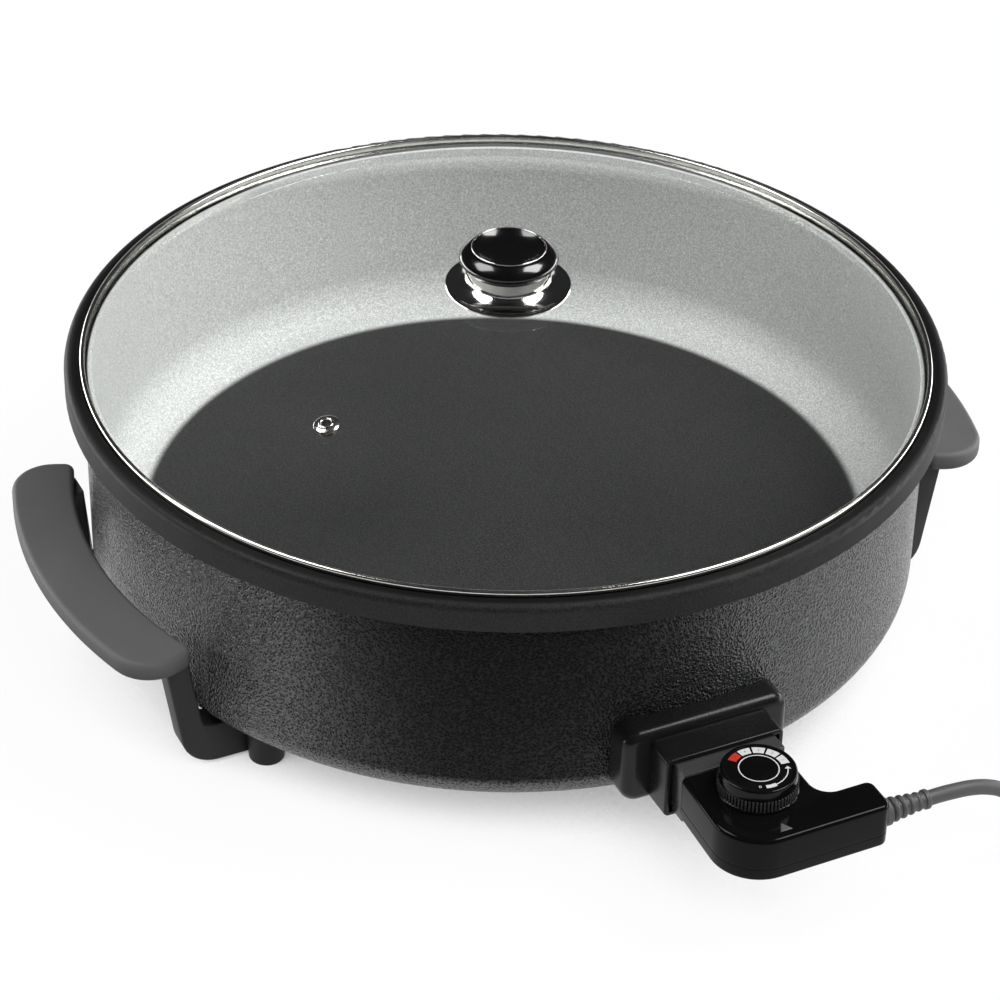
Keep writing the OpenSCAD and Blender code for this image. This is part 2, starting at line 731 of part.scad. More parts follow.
// Outline of a grip: a band bent round the pan, with rounded corners, moved inwards by d
function bend(p) = let (a = p.x / grip_mid_r * 180 / PI) [p.y * cos(a), p.y * sin(a)];
function grip_run(s0, s1, r) = [for (i = [1:grip_n - 1]) [s0 + (s1 - s0) * i / grip_n, r]];
function grip_outline(d) =
    let (si = grip_half_l - grip_corner_in, so = grip_half_l - grip_corner_out)
    let (ri = grip_r + grip_corner_in, ro = grip_r + grip_w - grip_corner_out)
    let (flat = concat(
        arc_points([-si, ri], grip_corner_in - d, 180, 270, arc_n),
        grip_run(-si, si, grip_r + d),
        arc_points([si, ri], grip_corner_in - d, -90, 0, arc_n),
        arc_points([so, ro], grip_corner_out - d, 0, 90, arc_n),
        grip_run(so, -so, grip_r + grip_w - d),
        arc_points([-so, ro], grip_corner_out - d, 90, 180, arc_n)))
    [for (i = [len(flat) - 1:-1:0]) bend(flat[i])];

// One leg and its foot bar as a plate, seen from the side
module leg_plate() {
    leg_top = grip_z + grip_t / 2;
    rise = tan(leg_lean);
    side = [
        [peg_x - peg_r, bar_z],
        [leg_x + leg_w - (foot_h - bar_z) * rise, bar_z],
        [leg_x + leg_w + (leg_top - foot_h) * rise, leg_top],
        [leg_x + (leg_top - foot_h) * rise, leg_top],
        [leg_x, foot_h],
        [peg_x - peg_r, foot_h]
    ];
    rotate([90, 0, 0]) linear_extrude(leg_t)
        polygon(round_path(side, [2, bar_corner_out, 0.5, 0.5, bar_corner_in, 0.5]));
}

// Foot handle on the +X side: grip, two legs with foot bars, and two peg feet
module foot_handle() {
    difference() {
        union() {
            skin([for (layer = slab_layers(grip_z, grip_z + grip_t, grip_edge_low, grip_edge_top))
                at_height(grip_outline(layer[0]), layer[1])], strip = true);
            difference() {
                for (y = [leg_t - leg_y, leg_y]) translate([0, y, 0]) leg_plate();
                translate([0, 0, foot_h]) cylinder(h = pan_h, r = shell_r + leg_gap, $fn = big);
            }
            for (sy = [-1, 1]) translate([peg_x, sy * peg_y, 0])
                cylinder(h = foot_h, r1 = peg_r, r2 = peg_top_r);
        }
        for (sy = [-1, 1]) translate([peg_x, sy * peg_y, -cut]) {
            cylinder(h = peg_well + cut, r = handle_head_r + slide);
            cylinder(h = foot_h + 2 * cut, r = handle_screw_r + fit);
        }
    }
}

module right_handle() {
    color("#3a3a3c") foot_handle();
}

module left_handle() {
    color("#3a3a3c") mirror([1, 0, 0]) foot_handle();
}

// Screws up through the peg feet
module handle_screws() {
    color("silver") at_feet() {
        translate([0, 0, handle_screw_z]) cylinder(h = handle_head_h, r = handle_head_r);
        translate([0, 0, handle_screw_z])
            cylinder(h = shell_floor + handle_nut_t + tip_room - handle_screw_z, r = handle_screw_r);
    }
}

// Nuts on the handle screws, inside the shell
module handle_nuts() {
    color("silver") at_feet() difference() {
        translate([0, 0, shell_floor]) cylinder(h = handle_nut_t, r = handle_head_r, $fn = 6);
        translate([0, 0, shell_floor - cut]) cylinder(h = handle_nut_t + 2 * cut, r = handle_screw_r + fit);
    }
}

// Lid: the band's channel grips the edge of the glass
lid_play = 0.5;
band_r = bore_r + ledge_w - lid_play;
band_in_r = band_r - band_w;
band_z = ledge_z + fit;
glass_z = band_z + band_skin + fit;
glass_r = band_r - band_skin - fit;
band_h = glass_t + 2 * (band_skin + fit);
dome_r = (band_in_r * band_in_r + dome_rise * dome_rise) / (2 * dome_rise);
dome_z = glass_z + glass_t + dome_rise - dome_r;
glass_top = dome_z + dome_r;
knob_hole_r = knob_screw_r + 1.5;
vent_tilt = asin(vent_ring_r / dome_r);
vent_wall = 1.2;
vent_barrel_r = vent_hole_r + vent_wall;

// Places children on the dome at the steam vent, square to the glass
module at_vent() {
    translate([0, 0, dome_z]) rotate([0, vent_tilt, vent_angle]) translate([0, 0, dome_r]) children();
}

module lid_glass() {
    color("lightcyan", 0.35) difference() {
        rotate_extrude($fn = big) {
            intersection() {
                translate([0, glass_z]) square([band_in_r, dome_rise + glass_t + cut]);
                translate([0, dome_z]) difference() {
                    circle(dome_r, $fn = 4 * big);
                    circle(dome_r - glass_t, $fn = 4 * big);
                }
            }
            translate([band_in_r - fit, glass_z]) square([glass_r - band_in_r + fit, glass_t]);
        }
        translate([0, 0, glass_z]) cylinder(h = dome_rise + glass_t + cut, r = knob_hole_r);
        at_vent() translate([0, 0, -2 * glass_t]) cylinder(h = 3 * glass_t, r = vent_barrel_r + fit);
    }
}

module lid_band() {
    color("silver") rotate_extrude($fn = big) difference() {
        translate([band_in_r, band_z]) square([band_w, band_h]);
        translate([band_in_r - cut, band_z + band_skin])
            square([band_w - band_skin + cut, band_h - 2 * band_skin]);
    }
}

// Steam vent eyelet, flanged on both sides of the glass
module steam_vent() {
    flange = 1;
    top = 2 * fit;
    low = -glass_t - 2 * fit;
    color("silver") at_vent() difference() {
        union() {
            translate([0, 0, top]) cylinder(h = flange, r = vent_r);
            translate([0, 0, low - flange]) cylinder(h = flange, r = vent_r - 1);
            translate([0, 0, low - flange]) cylinder(h = top - low + 2 * flange, r = vent_barrel_r);
        }
        translate([0, 0, low - flange - cut]) cylinder(h = top - low + 2 * flange + 2 * cut, r = vent_hole_r);
    }
}

// Knob stack, from the glass upwards
skirt_z = dome_z + sqrt(dome_r * dome_r - skirt_r * skirt_r) + fit;
collar_z = glass_top + collar_h;
knob_z = collar_z + fit;
knob_top = knob_z + knob_h;
knob_wide_z = knob_z + knob_h * 0.5;
insert_r = knob_screw_r + 1.6;
insert_h = knob_h - dish_depth - 1.5;

// Pressed steel skirt: a flared flange and a collar closed by a flat top
module knob_skirt() {
    foot_z = skirt_z + 3.2;
    color("silver") rotate_extrude($fn = big) difference() {
        polygon([[0, skirt_z], [skirt_r, skirt_z], [skirt_r, skirt_z + skirt_t], [collar_r + 3, foot_z - 0.6],
            [collar_r + 0.6, foot_z + 0.6], [collar_r, foot_z + 2], [collar_r - 0.5, collar_z], [0, collar_z]]);
        polygon([[0, skirt_z - cut], [skirt_r - skirt_t, skirt_z - cut], [skirt_r - skirt_t, skirt_z],
            [collar_r + 3 - skirt_t, foot_z - 0.6 - skirt_t], [collar_r - skirt_t, foot_z],
            [collar_r - 0.5 - skirt_t, collar_z - skirt_t], [0, collar_z - skirt_t]]);
        square([knob_screw_r + fit, collar_z + cut]);
    }
}

// Moulded knob with a dished top
module knob() {
    rim = dish_r + 0.8;
    color("#0d0d0e") rotate_extrude($fn = big) difference() {
        polygon(concat(
            [[0, knob_z], [collar_r - 1.5, knob_z]],
            arc_points([knob_r - 2.5, knob_wide_z - 0.5], 2.5, -60, 45, arc_n),
            [[(knob_r + rim) / 2 + 0.6, knob_top - 1.6], [rim, knob_top], [dish_r, knob_top],
            [dish_r - 2.5, knob_top - dish_depth * 0.8], [dish_r * 0.5, knob_top - dish_depth],
            [0, knob_top - dish_depth]]));
        translate([0, knob_z - cut]) square([insert_r + fit, insert_h + cut + fit]);
    }
}

module knob_insert() {
    color("goldenrod") translate([0, 0, knob_z]) difference() {
        cylinder(h = insert_h, r = insert_r);
        translate([0, 0, -cut]) cylinder(h = insert_h - 1 + cut, r = knob_screw_r + fit);
    }
}

seal_t = 1.5;
washer_t = 1;
seal_z = glass_top - glass_t - 2 * fit - seal_t;

module knob_seal() {
    color("#b8b8b0") translate([0, 0, seal_z]) difference() {
        cylinder(h = seal_t, r = knob_hole_r + 5);
        translate([0, 0, -cut]) cylinder(h = seal_t + 2 * cut, r = knob_screw_r + fit);
    }
}

module knob_washer() {
    color("silver") translate([0, 0, seal_z - washer_t]) difference() {
        cylinder(h = washer_t, r = knob_hole_r + 4);
        translate([0, 0, -cut]) cylinder(h = washer_t + 2 * cut, r = knob_screw_r + fit);
    }
}

module knob_screw() {
    head_h = 2.4;
    low = seal_z - washer_t;
    color("silver") {
        translate([0, 0, low - head_h]) cylinder(h = head_h, r = 2 * knob_screw_r);
        translate([0, 0, low - head_h]) cylinder(h = knob_z + insert_h - 2 - low + head_h, r = knob_screw_r);
    }
}

// Rings over the controller's outline, at each layer's inset and height
function case_rings(layers) =
    [for (layer = layers) at_height(round_path(case_path, case_radii, layer[0]), layer[1])];

// Openings that both halves of the case share: the nose's tail and the strain relief's neck
module case_ports() {
    translate([-nose_tail_x - fit, -case_back - case_wall - cut, nose_tail_z0 - fit])
        cube([2 * (nose_tail_x + fit), case_wall + 2 * cut, nose_tail_z1 - nose_tail_z0 + 2 * fit]);
    translate([arm_reach - case_wall - cut, -arm_y, relief_z]) rotate([0, 90, 0])
        cylinder(h = case_wall + 2 * cut, r = neck_r + fit);
}

neck_r = relief_tip_r + 0.2;

// Triangle of the pilot lens, pointing at the dial, grown by d
module lens_triangle(d) {
    r = lens_side / sqrt(3) + 2 * d;
    translate([lens_x, -lens_y]) polygon([for (a = [90, 210, 330]) r * [cos(a), sin(a)]]);
}

module case_top() {
    color("#101113") difference() {
        union() {
            skin(case_rings(concat([[case_wall, case_ceiling], [case_wall, seam_z]],
                slab_layers(seam_z, case_top_z, 0, case_edge_top))), strip = true);
            for (p = screw_spots) translate([p.x, p.y, seam_z])
                cylinder(h = case_ceiling + case_boss_set - seam_z, r = case_boss_r);
        }
        case_ports();
        for (p = screw_spots) translate([p.x, p.y, seam_z - cut])
            cylinder(h = case_screw_bite + tip_room + cut, r = case_screw_r + fit);
        translate([0, -dial_y, case_ceiling - cut]) cylinder(h = case_wall + 2 * cut, r = spindle_r + run);
        translate([0, 0, case_ceiling - cut]) linear_extrude(case_wall + 2 * cut) lens_triangle(fit);
    }
}

module case_bottom() {
    color("#101113") difference() {
        union() {
            skin(case_rings(concat(slab_layers(case_z, seam_z, case_edge_low, 0),
                [[case_wall, seam_z], [case_wall, case_floor]])), strip = true);
            for (p = screw_spots) translate([p.x, p.y, case_floor - case_boss_set])
                cylinder(h = seam_z - case_floor + case_boss_set, r = case_boss_r);
        }
        case_ports();
        for (p = screw_spots) translate([p.x, p.y, case_z - cut]) {
            cylinder(h = case_h, r = case_screw_r + fit);
            cylinder(h = case_head_h + case_boss_set + cut, r = case_head_r + fit);
        }
    }
}

module case_screws() {
    low = case_z + case_boss_set;
    color("silver") for (p = screw_spots) translate([p.x, p.y, low]) {
        cylinder(h = case_head_h, r = case_head_r);
        cylinder(h = seam_z + case_screw_bite - low, r = case_screw_r);
    }
}

// Insulating nose that fills the socket and holds the contacts and the probe
module controller_nose() {
    color("#1c1d1f") difference() {
        union() {
            translate([-nose_w / 2, -case_back, nose_z]) cube([nose_w, case_back - nose_tip, nose_h]);
            translate([-nose_tail_x, -case_back - case_wall - nose_tail_l, nose_tail_z0])
                cube([2 * nose_tail_x, case_wall + nose_tail_l + cut, nose_tail_z1 - nose_tail_z0]);
        }
        for (sx = [-1, 1])
            rod_y(sx * pin_x, pin_z, nose_tip - cut, nose_tip + sleeve_l + slide, sleeve_r + fit);
        rod_y(0, earth_z, nose_tip - cut, nose_tip + sleeve_l + slide, sleeve_r + fit);
        rod_y(0, probe_z, nose_tip - cut, nose_tip + probe_root + slide, probe_r + fit);
    }
}

// Sprung sleeve that a contact pin slides into, closed at its far end
module sleeve(x, z) {
    difference() {
        rod_y(x, z, nose_tip + slide, nose_tip + sleeve_l, sleeve_r);
        rod_y(x, z, nose_tip - cut, nose_tip + sleeve_l - sleeve_wall, sleeve_in_r);
    }
}

module contact_sleeves() {
    color("goldenrod") for (sx = [-1, 1]) sleeve(sx * pin_x, pin_z);
}

module earth_sleeve() {
    color("goldenrod") sleeve(0, earth_z);
}

// Probe rod with a rounded tip, set in the nose
module probe_rod() {
    color("silver") {
        rod_y(0, probe_z, nose_tip - probe_l + probe_r, nose_tip + probe_root, probe_r);
        translate([0, -(nose_tip - probe_l + probe_r), probe_z]) sphere(probe_r, $fn = 48);
    }
}

// Bracket inside the case that carries the spindle and the switch
module thermostat_frame() {
    half = 9;
    color("lightsteelblue") translate([0, -dial_y, 0]) difference() {
        union() {
            translate([-half, -half - 2, frame_z]) cube([2 * half, 2 * half + 4, frame_t]);
            translate([0, 0, frame_z]) cylinder(h = case_ceiling - fit - frame_z, r = spindle_r + 2);
            for (sx = [-1, 1], sy = [-1, 1])
                translate([sx * (half - 1) - 1, sy * (half + 1) - 1, case_floor])
                    cube([2, 2, frame_z - case_floor + fit]);
        }
        translate([0, 0, frame_z - cut]) cylinder(h = case_h, r = spindle_r + run);
    }
}

// Switch stack behind the spindle: rivet, ceramic rings and the blades between them
stack_low = case_floor + fit;
strip_w = 7;
ring_t = 2.2;
module stack_at(k) {
    translate([0, -stack_y, stack_low + k * (ring_t + blade_t)]) children();
}

module ceramic_spacers() {
    color("ivory") for (k = [0:3]) stack_at(k) difference() {
        cylinder(h = k < 3 ? ring_t : frame_z - fit - stack_low - 3 * (ring_t + blade_t), r = stack_r);
        translate([0, 0, -cut]) cylinder(h = ring_t + 3 * cut, r = rivet_r + fit);
    }
}

module stack_rivet() {
    color("silver") translate([0, -stack_y, stack_low]) cylinder(h = frame_z - fit - stack_low, r = rivet_r);
}

// Strip clamped in the stack and reaching under the spindle
module stack_strip(k, t, reach) {
    stack_at(k) translate([0, 0, ring_t]) difference() {
        translate([-strip_w / 2, -reach, 0]) cube([strip_w, reach + strip_w / 2, t]);
        translate([0, 0, -cut]) cylinder(h = t + 2 * cut, r = rivet_r + fit);
    }
}

module bimetal_strip() {
    color("darkgoldenrod") stack_strip(0, blade_t, 20);
}

module contact_blades() {
    color("goldenrod") {
        stack_strip(1, blade_t, 17);
        stack_strip(2, blade_t, 14);
    }
}

lens_low = case_ceiling - 1;
lens_proud = 0.3;
module pilot_lens() {
    color("whitesmoke") translate([0, 0, lens_low])
        linear_extrude(case_top_z + lens_proud - lens_low) lens_triangle(0);
}

// Small neon tube under the lens
module pilot_lamp() {
    lamp_r = 2;
    color("orange") translate([lens_x - 4, -lens_y, lens_low - fit - lamp_r]) rotate([0, 90, 0])
        cylinder(h = 8, r = lamp_r, $fn = 32);
}

// Three insulated wires from the lead's end to the nose's tail
wire_r = 1.1;
wire_sides = 8;
wire_fine = 4;
module wire(points) {
    skin(tube_rings(smooth(points, wire_fine), [-1, 0, 0], [0, 1, 0], wire_r, wire_sides));
}

module lead_wires() {
    start_x = arm_reach - case_wall - relief_lock - fit;
    end_y = -case_back - case_wall - nose_tail_l - fit;
    low = nose_tail_z0 + wire_r;
    high = nose_tail_z1 - wire_r - 0.3;
    side = case_right - case_wall - wire_r - 0.6;
    bend_x = start_x - 8;
    color("saddlebrown") {
        wire([[start_x, -arm_y + 1.5, relief_z], [bend_x, -arm_y + 3, low], [side + 4, -arm_y + 3, low],
            [side, -arm_y + 11, low], [side, end_y, low]]);
        wire([[start_x, -arm_y - 1.5, relief_z], [bend_x, -arm_y, low], [side, -arm_y, low],
            [side - 4, -arm_y + 8, low], [side - 4, end_y, low]]);
        wire([[start_x, -arm_y, relief_z + 2.6], [bend_x, -arm_y + 2, high], [side, -arm_y + 2, high],
            [side - 6, -arm_y + 9, high], [side - 6, end_y, high]]);
    }
}

// Ribbed sleeve that leads the cord out of the arm, locked behind the case's wall
relief_lock = 2.2;
function relief_profile() =
    let (step = (relief_l - 6) / relief_ribs)
    let (r_at = function(x) relief_r + (relief_tip_r - relief_r) * x / relief_l)
    concat([[fit, 0], [fit, relief_r], [4, relief_r]],
        [for (i = [0:relief_ribs - 1]) each [
            [4 + i * step + 0.3, r_at(4 + i * step) - 1], [4 + (i + 0.35) * step, r_at(4 + i * step) - 1],
            [4 + (i + 0.35) * step + 0.3, r_at(4 + i * step)], [4 + (i + 1) * step, r_at(4 + (i + 1) * step)]]],
        [[relief_l, relief_tip_r], [relief_l, 0]]);

module strain_relief() {
    color("#151617") translate([arm_reach, -arm_y, relief_z]) rotate([0, 90, 0]) {
        rotate_extrude() polygon([for (p = relief_profile()) [p.y, p.x]]);
        translate([0, 0, -case_wall - relief_lock]) cylinder(h = case_wall + relief_lock + 2 * fit, r = neck_r);
        translate([0, 0, -case_wall - relief_lock]) cylinder(h = relief_lock - fit, r = neck_r + 0.7);
    }
}

// Dial with a knurled skirt, and the spindle that it turns
module dial() {
    chamfer = 0.8;
    color("#0c0c0d") translate([0, -dial_y, dial_z]) difference() {
        rotate_extrude() polygon([[0, 0], [dial_skirt_r, 0], [dial_skirt_r, dial_skirt_h],
            [dial_skirt_r - 0.6, dial_skirt_h + 0.6], [dial_r + 0.2, dial_skirt_h + 0.6],
            [dial_r, dial_h - chamfer], [dial_r - chamfer, dial_h], [0, dial_h]]);
        translate([0, 0, -cut]) cylinder(h = dial_h - 3 + cut, r = spindle_r + fit);
    }
}

module dial_spindle() {
    color("silver") translate([0, -dial_y, spindle_low])
        cylinder(h = dial_z + dial_h - 3.5 - spindle_low, r = spindle_r);
}

// Free stretch of the lead
module cord() {
    points = smooth(cord_route, cord_fine);
    color("#202123") skin(tube_rings(points, [1, 0, 0], [1, 0, 0], cord_r, cord_sides));
}

// Coil of two layers: it spirals in, climbs in the half turn where the spiral reverses, and spirals out
coil_half = coil_turns + 0.25;
coil_count = round(2 * coil_half * coil_rings);
function climb(t) = let (k = min(1, max(0, (t - coil_turns) / 0.5))) k * k * (3 - 2 * k);
function coil_point(t) =
    let (r = coil_r - coil_pitch * (coil_half - abs(t - coil_half)), a = 360 * t - 90)
    [coil_x + r * cos(a), coil_y + r * sin(a), coil_z + coil_pitch * climb(t)];
coil_points = [for (i = [0:coil_count]) coil_point(2 * coil_half * i / coil_count)];
coil_gaps = [for (i = [0:coil_count]) for (j = [i + coil_rings / 2:1:coil_count])
    norm(coil_points[i] - coil_points[j]) - cord_d];
echo(least_gap_in_the_coil = min(coil_gaps));
tail_start = coil_points[coil_count];
coil_end_dir = [cos(720 * coil_half), sin(720 * coil_half), 0];

module cord_coil() {
    color("#202123") skin(tube_rings(coil_points, [1, 0, 0], coil_end_dir, cord_r, coil_sides));
}

// End of the lead, rising from the coil's top layer to the plug
tail_route = [for (k = [0:1:12]) let (u = min(1, max(0, (k - 2) / 8)), rise = u * u * (3 - 2 * u))
    [tail_start.x, tail_start.y + tail_l * k / 12, tail_start.z + (plug_z - tail_start.z) * rise]];

module cord_tail() {
    color("#202123") skin(tube_rings(tail_route, [0, 1, 0], [0, 1, 0], cord_r, cord_sides));
}

// Flat tie round the coil's strands, at the place where both layers lie above each other
tie_angle = 135;
tie_turn = (tie_angle + 90) / 360;
module cord_tie() {
    middle = [coil_x, coil_y];
    strands = [for (t = [tie_turn:1:2 * coil_half]) let (p = coil_point(t)) norm([p.x, p.y] - middle)];
    in_r = min(strands) - cord_r - fit;
    out_r = max(strands) + cord_r + fit;
    high = coil_z + coil_pitch + cord_r + fit;
    color("#0b0b0c") translate([coil_x, coil_y, 0]) rotate(tie_angle) rotate([90, 0, 0])
        translate([0, 0, -tie_w / 2]) linear_extrude(tie_w) difference() {
            translate([in_r - tie_t, fit / 2]) square([out_r - in_r + 2 * tie_t, high + tie_t - fit / 2]);
            translate([in_r, fit / 2 + tie_t]) square([out_r - in_r, high - fit / 2 - tie_t]);
        }
}

// Round mains plug lying on the table, its neck towards the coil
plug_pin_root = 8.8;
earth_w = 6;
earth_t = 1;
earth_l = 15;
earth_groove = 4.4;
module along_plug() {
    translate([plug_x, plug_y, plug_z]) rotate([-90, 0, 0]) children();
}

module plug_body() {
    back = plug_neck_l;
    front = plug_neck_l + plug_l;
    color("#1a1b1d") along_plug() difference() {
        rotate_extrude() polygon([[0, 0], [cord_r + 0.8, 0], [cord_r + 2.6, back],
            [plug_r - 5, back + 2], [plug_r - 1.5, back + 6], [plug_r, back + 9],
            [plug_r, front - 1], [plug_r - 1, front], [0, front]]);
        for (s = [-1, 1]) translate([s * plug_pitch / 2, 0, front - plug_pin_root - fit])
            cylinder(h = plug_pin_root + fit + cut, r = plug_pin_r + fit);
        for (s = [0, 1]) mirror([0, s, 0])
            translate([-earth_w / 2 - fit, plug_r - earth_groove, front - earth_l])
                cube([earth_w + 2 * fit, earth_groove + cut, earth_l + cut]);
    }
}

module plug_pins() {
    front = plug_neck_l + plug_l;
    color("gainsboro") along_plug() for (s = [-1, 1])
        translate([s * plug_pitch / 2, 0, front - plug_pin_root]) {
        cylinder(h = plug_pin_root + plug_pin_l - plug_pin_r, r = plug_pin_r);
        translate([0, 0, plug_pin_root + plug_pin_l - plug_pin_r]) sphere(plug_pin_r, $fn = 48);
    }
}

// Earth strips in the plug's sides
module plug_earth_clips() {
    front = plug_neck_l + plug_l;
    strip_r = plug_r - earth_groove + fit + earth_t / 2;
    color("gainsboro") along_plug() for (s = [-1, 1])
        translate([-earth_w / 2, s * strip_r - earth_t / 2, front - earth_l + fit])
            cube([earth_w, earth_t, earth_l - slide]);
}

inner_pan();
outer_shell();
heating_element();
element_clips();
heat_shield();
spacer_posts();
post_screws();
probe_guide();
socket_housing();
contact_pins();
earth_pin();
terminal_nuts();
terminal_straps();
socket_screws();
left_handle();
right_handle();
handle_screws();
handle_nuts();
lid_glass();
lid_band();
steam_vent();
knob();
knob_skirt();
knob_insert();
knob_screw();
knob_washer();
knob_seal();
case_top();
case_bottom();
case_screws();
controller_nose();
contact_sleeves();
earth_sleeve();
probe_rod();
thermostat_frame();
bimetal_strip();
contact_blades();
ceramic_spacers();
stack_rivet();
pilot_lens();
pilot_lamp();
lead_wires();
strain_relief();
dial();
dial_spindle();
cord();
cord_coil();
cord_tail();
cord_tie();
plug_body();
plug_pins();
plug_earth_clips();
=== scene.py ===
"""Dresses the electric pizza pan: pieces, finishes, camera and studio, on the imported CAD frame."""

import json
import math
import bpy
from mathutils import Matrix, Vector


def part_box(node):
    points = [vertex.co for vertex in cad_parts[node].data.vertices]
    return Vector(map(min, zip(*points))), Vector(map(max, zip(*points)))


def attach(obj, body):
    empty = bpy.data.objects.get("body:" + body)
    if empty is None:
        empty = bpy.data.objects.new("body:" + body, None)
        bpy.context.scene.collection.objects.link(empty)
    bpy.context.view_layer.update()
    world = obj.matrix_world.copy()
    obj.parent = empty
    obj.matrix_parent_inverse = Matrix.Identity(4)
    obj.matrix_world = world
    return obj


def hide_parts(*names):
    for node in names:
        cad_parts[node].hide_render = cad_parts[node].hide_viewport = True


bl_info = {
    "name": "Electric pizza pan",
    "version": (1, 0, 0),
    "blender": (4, 5, 0),
    "location": "3D View > Sidebar > Pizza pan",
    "description": "Builds the visible pieces and finishes of an electric pizza pan",
    "category": "Object",
}

import bmesh
import bpy
from mathutils import Matrix, Vector

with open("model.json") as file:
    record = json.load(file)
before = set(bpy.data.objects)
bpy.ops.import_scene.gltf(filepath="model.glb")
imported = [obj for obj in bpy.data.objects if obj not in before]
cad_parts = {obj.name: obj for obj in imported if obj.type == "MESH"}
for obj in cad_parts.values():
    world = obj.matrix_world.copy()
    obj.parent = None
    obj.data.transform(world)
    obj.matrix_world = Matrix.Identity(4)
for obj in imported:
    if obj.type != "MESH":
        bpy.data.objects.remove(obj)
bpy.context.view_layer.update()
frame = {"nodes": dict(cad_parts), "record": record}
MM = 0.001
VIEW_AZIMUTH, VIEW_HEIGHT, VIEW_ROLL = -26.044, 34.991, 1.368
VIEW_PLACE = (-0.58963, -1.20342, 0.98718)
VIEW_LENS, VIEW_SENSOR = 119.51, 36.0


def length(name, description, default):
    """A length property, in metres."""
    return bpy.props.FloatProperty(name=name, description=description, default=default, unit="LENGTH", precision=5)


def colour(name, description, default):
    """A colour property."""
    return bpy.props.FloatVectorProperty(
        name=name, description=description, default=default, subtype="COLOR", min=0, max=1)


class PanSizes(bpy.types.PropertyGroup):
    """Sizes of the pan and its foot handles."""

    shell_radius: length("Shell radius", "Outer radius of the shell", 0.2015)
    floor_radius: length("Floor radius", "Radius of the flat cooking floor", 0.177)
    shell_bottom: length("Shell bottom", "Height of the shell's underside", 0.023)
    grip_bottom: length("Grip bottom", "Height of a grip's underside", 0.064)
    grip_thickness: length("Grip thickness", "Thickness of a grip", 0.010)
    grip_width: length("Grip width", "Radial width of a grip", 0.0295)
    grip_radius: length("Grip radius", "Radius of a grip's inner edge", 0.2088)
    grip_half: length("Grip half length", "Half the length of a grip along its arc", 0.089)
    leg_outside: length("Leg outside", "Distance of a leg's outer face from the middle", 0.076)
    leg_thickness: length("Leg thickness", "Thickness of a leg", 0.014)
    leg_width: length("Leg width", "Width of a leg seen from the side", 0.0115)
    peg_radius: length("Peg radius", "Radius of a peg foot at the table", 0.0084)


class LidSizes(bpy.types.PropertyGroup):
    """Sizes of the lid and its knob."""

    knob_radius: length("Knob radius", "Largest radius of the knob", 0.0235)
    dish_radius: length("Dish radius", "Radius of the dish in the knob's top", 0.0168)
    collar_radius: length("Collar radius", "Radius of the skirt's collar", 0.0205)
    skirt_radius: length("Skirt radius", "Radius of the skirt's rolled edge", 0.030)


class ControllerSizes(bpy.types.PropertyGroup):
    """Sizes of the plug-in controller, its dial and its lead."""

    dial_forward: length("Dial forward", "Distance of the dial's axis in front of the pan's axis", 0.2575)
    dial_radius: length("Dial radius", "Radius of the dial's top", 0.0168)
    dial_teeth: bpy.props.IntProperty(name="Dial teeth", description="Teeth round the dial's skirt", default=66)
    lead_diameter: length("Lead diameter", "Diameter of the mains lead", 0.007)


class Finishes(bpy.types.PropertyGroup):
    """Colours of the finishes."""

    shell: colour("Shell", "Hammered shell paint", (0.005, 0.005, 0.0054))
    coat: colour("Coat", "Satin coat of the rim and the floor", (0.023, 0.0232, 0.0232))
    # The pale wall colour is painted light: it stands in for the light that the upright wall catches.
    wall: colour("Wall", "Speckled coat of the cooking space's wall", (0.63, 0.64, 0.63))
    grip: colour("Grip", "Moulded grips", (0.088, 0.088, 0.088))
    gloss: colour("Gloss", "Glossy black plastic", (0.0022, 0.0022, 0.0024))
    socket: colour("Socket", "Satin black plastic", (0.005, 0.005, 0.0054))
    nose: colour("Nose", "Nose of the controller", (0.03, 0.03, 0.03))
    lead: colour("Lead", "Mains lead", (0.045, 0.045, 0.047))
    print_white: colour("White print", "White marks on the dial", (0.4, 0.4, 0.395))
    print_red: colour("Red print", "Red mark on the dial", (0.3, 0.016, 0.009))


class Sock:
    """A shader socket that takes part in Python expressions."""

    def __init__(self, tree, socket):
        self.tree, self.socket = tree, socket

    def math(self, operation, first, second=None):
        node = self.tree.nodes.new("ShaderNodeMath")
        node.operation = operation
        for slot, value in enumerate((first, second)):
            if isinstance(value, Sock):
                self.tree.links.new(value.socket, node.inputs[slot])
            elif value is not None:
                node.inputs[slot].default_value = value
        return Sock(self.tree, node.outputs[0])

    def __add__(self, other):
        return self.math("ADD", self, other)

    __radd__ = __add__

    def __sub__(self, other):
        return self.math("SUBTRACT", self, other)

    def __rsub__(self, other):
        return self.math("SUBTRACT", other, self)

    def __mul__(self, other):
        return self.math("MULTIPLY", self, other)

    __rmul__ = __mul__

    def __pow__(self, other):
        return self.math("POWER", self, other)


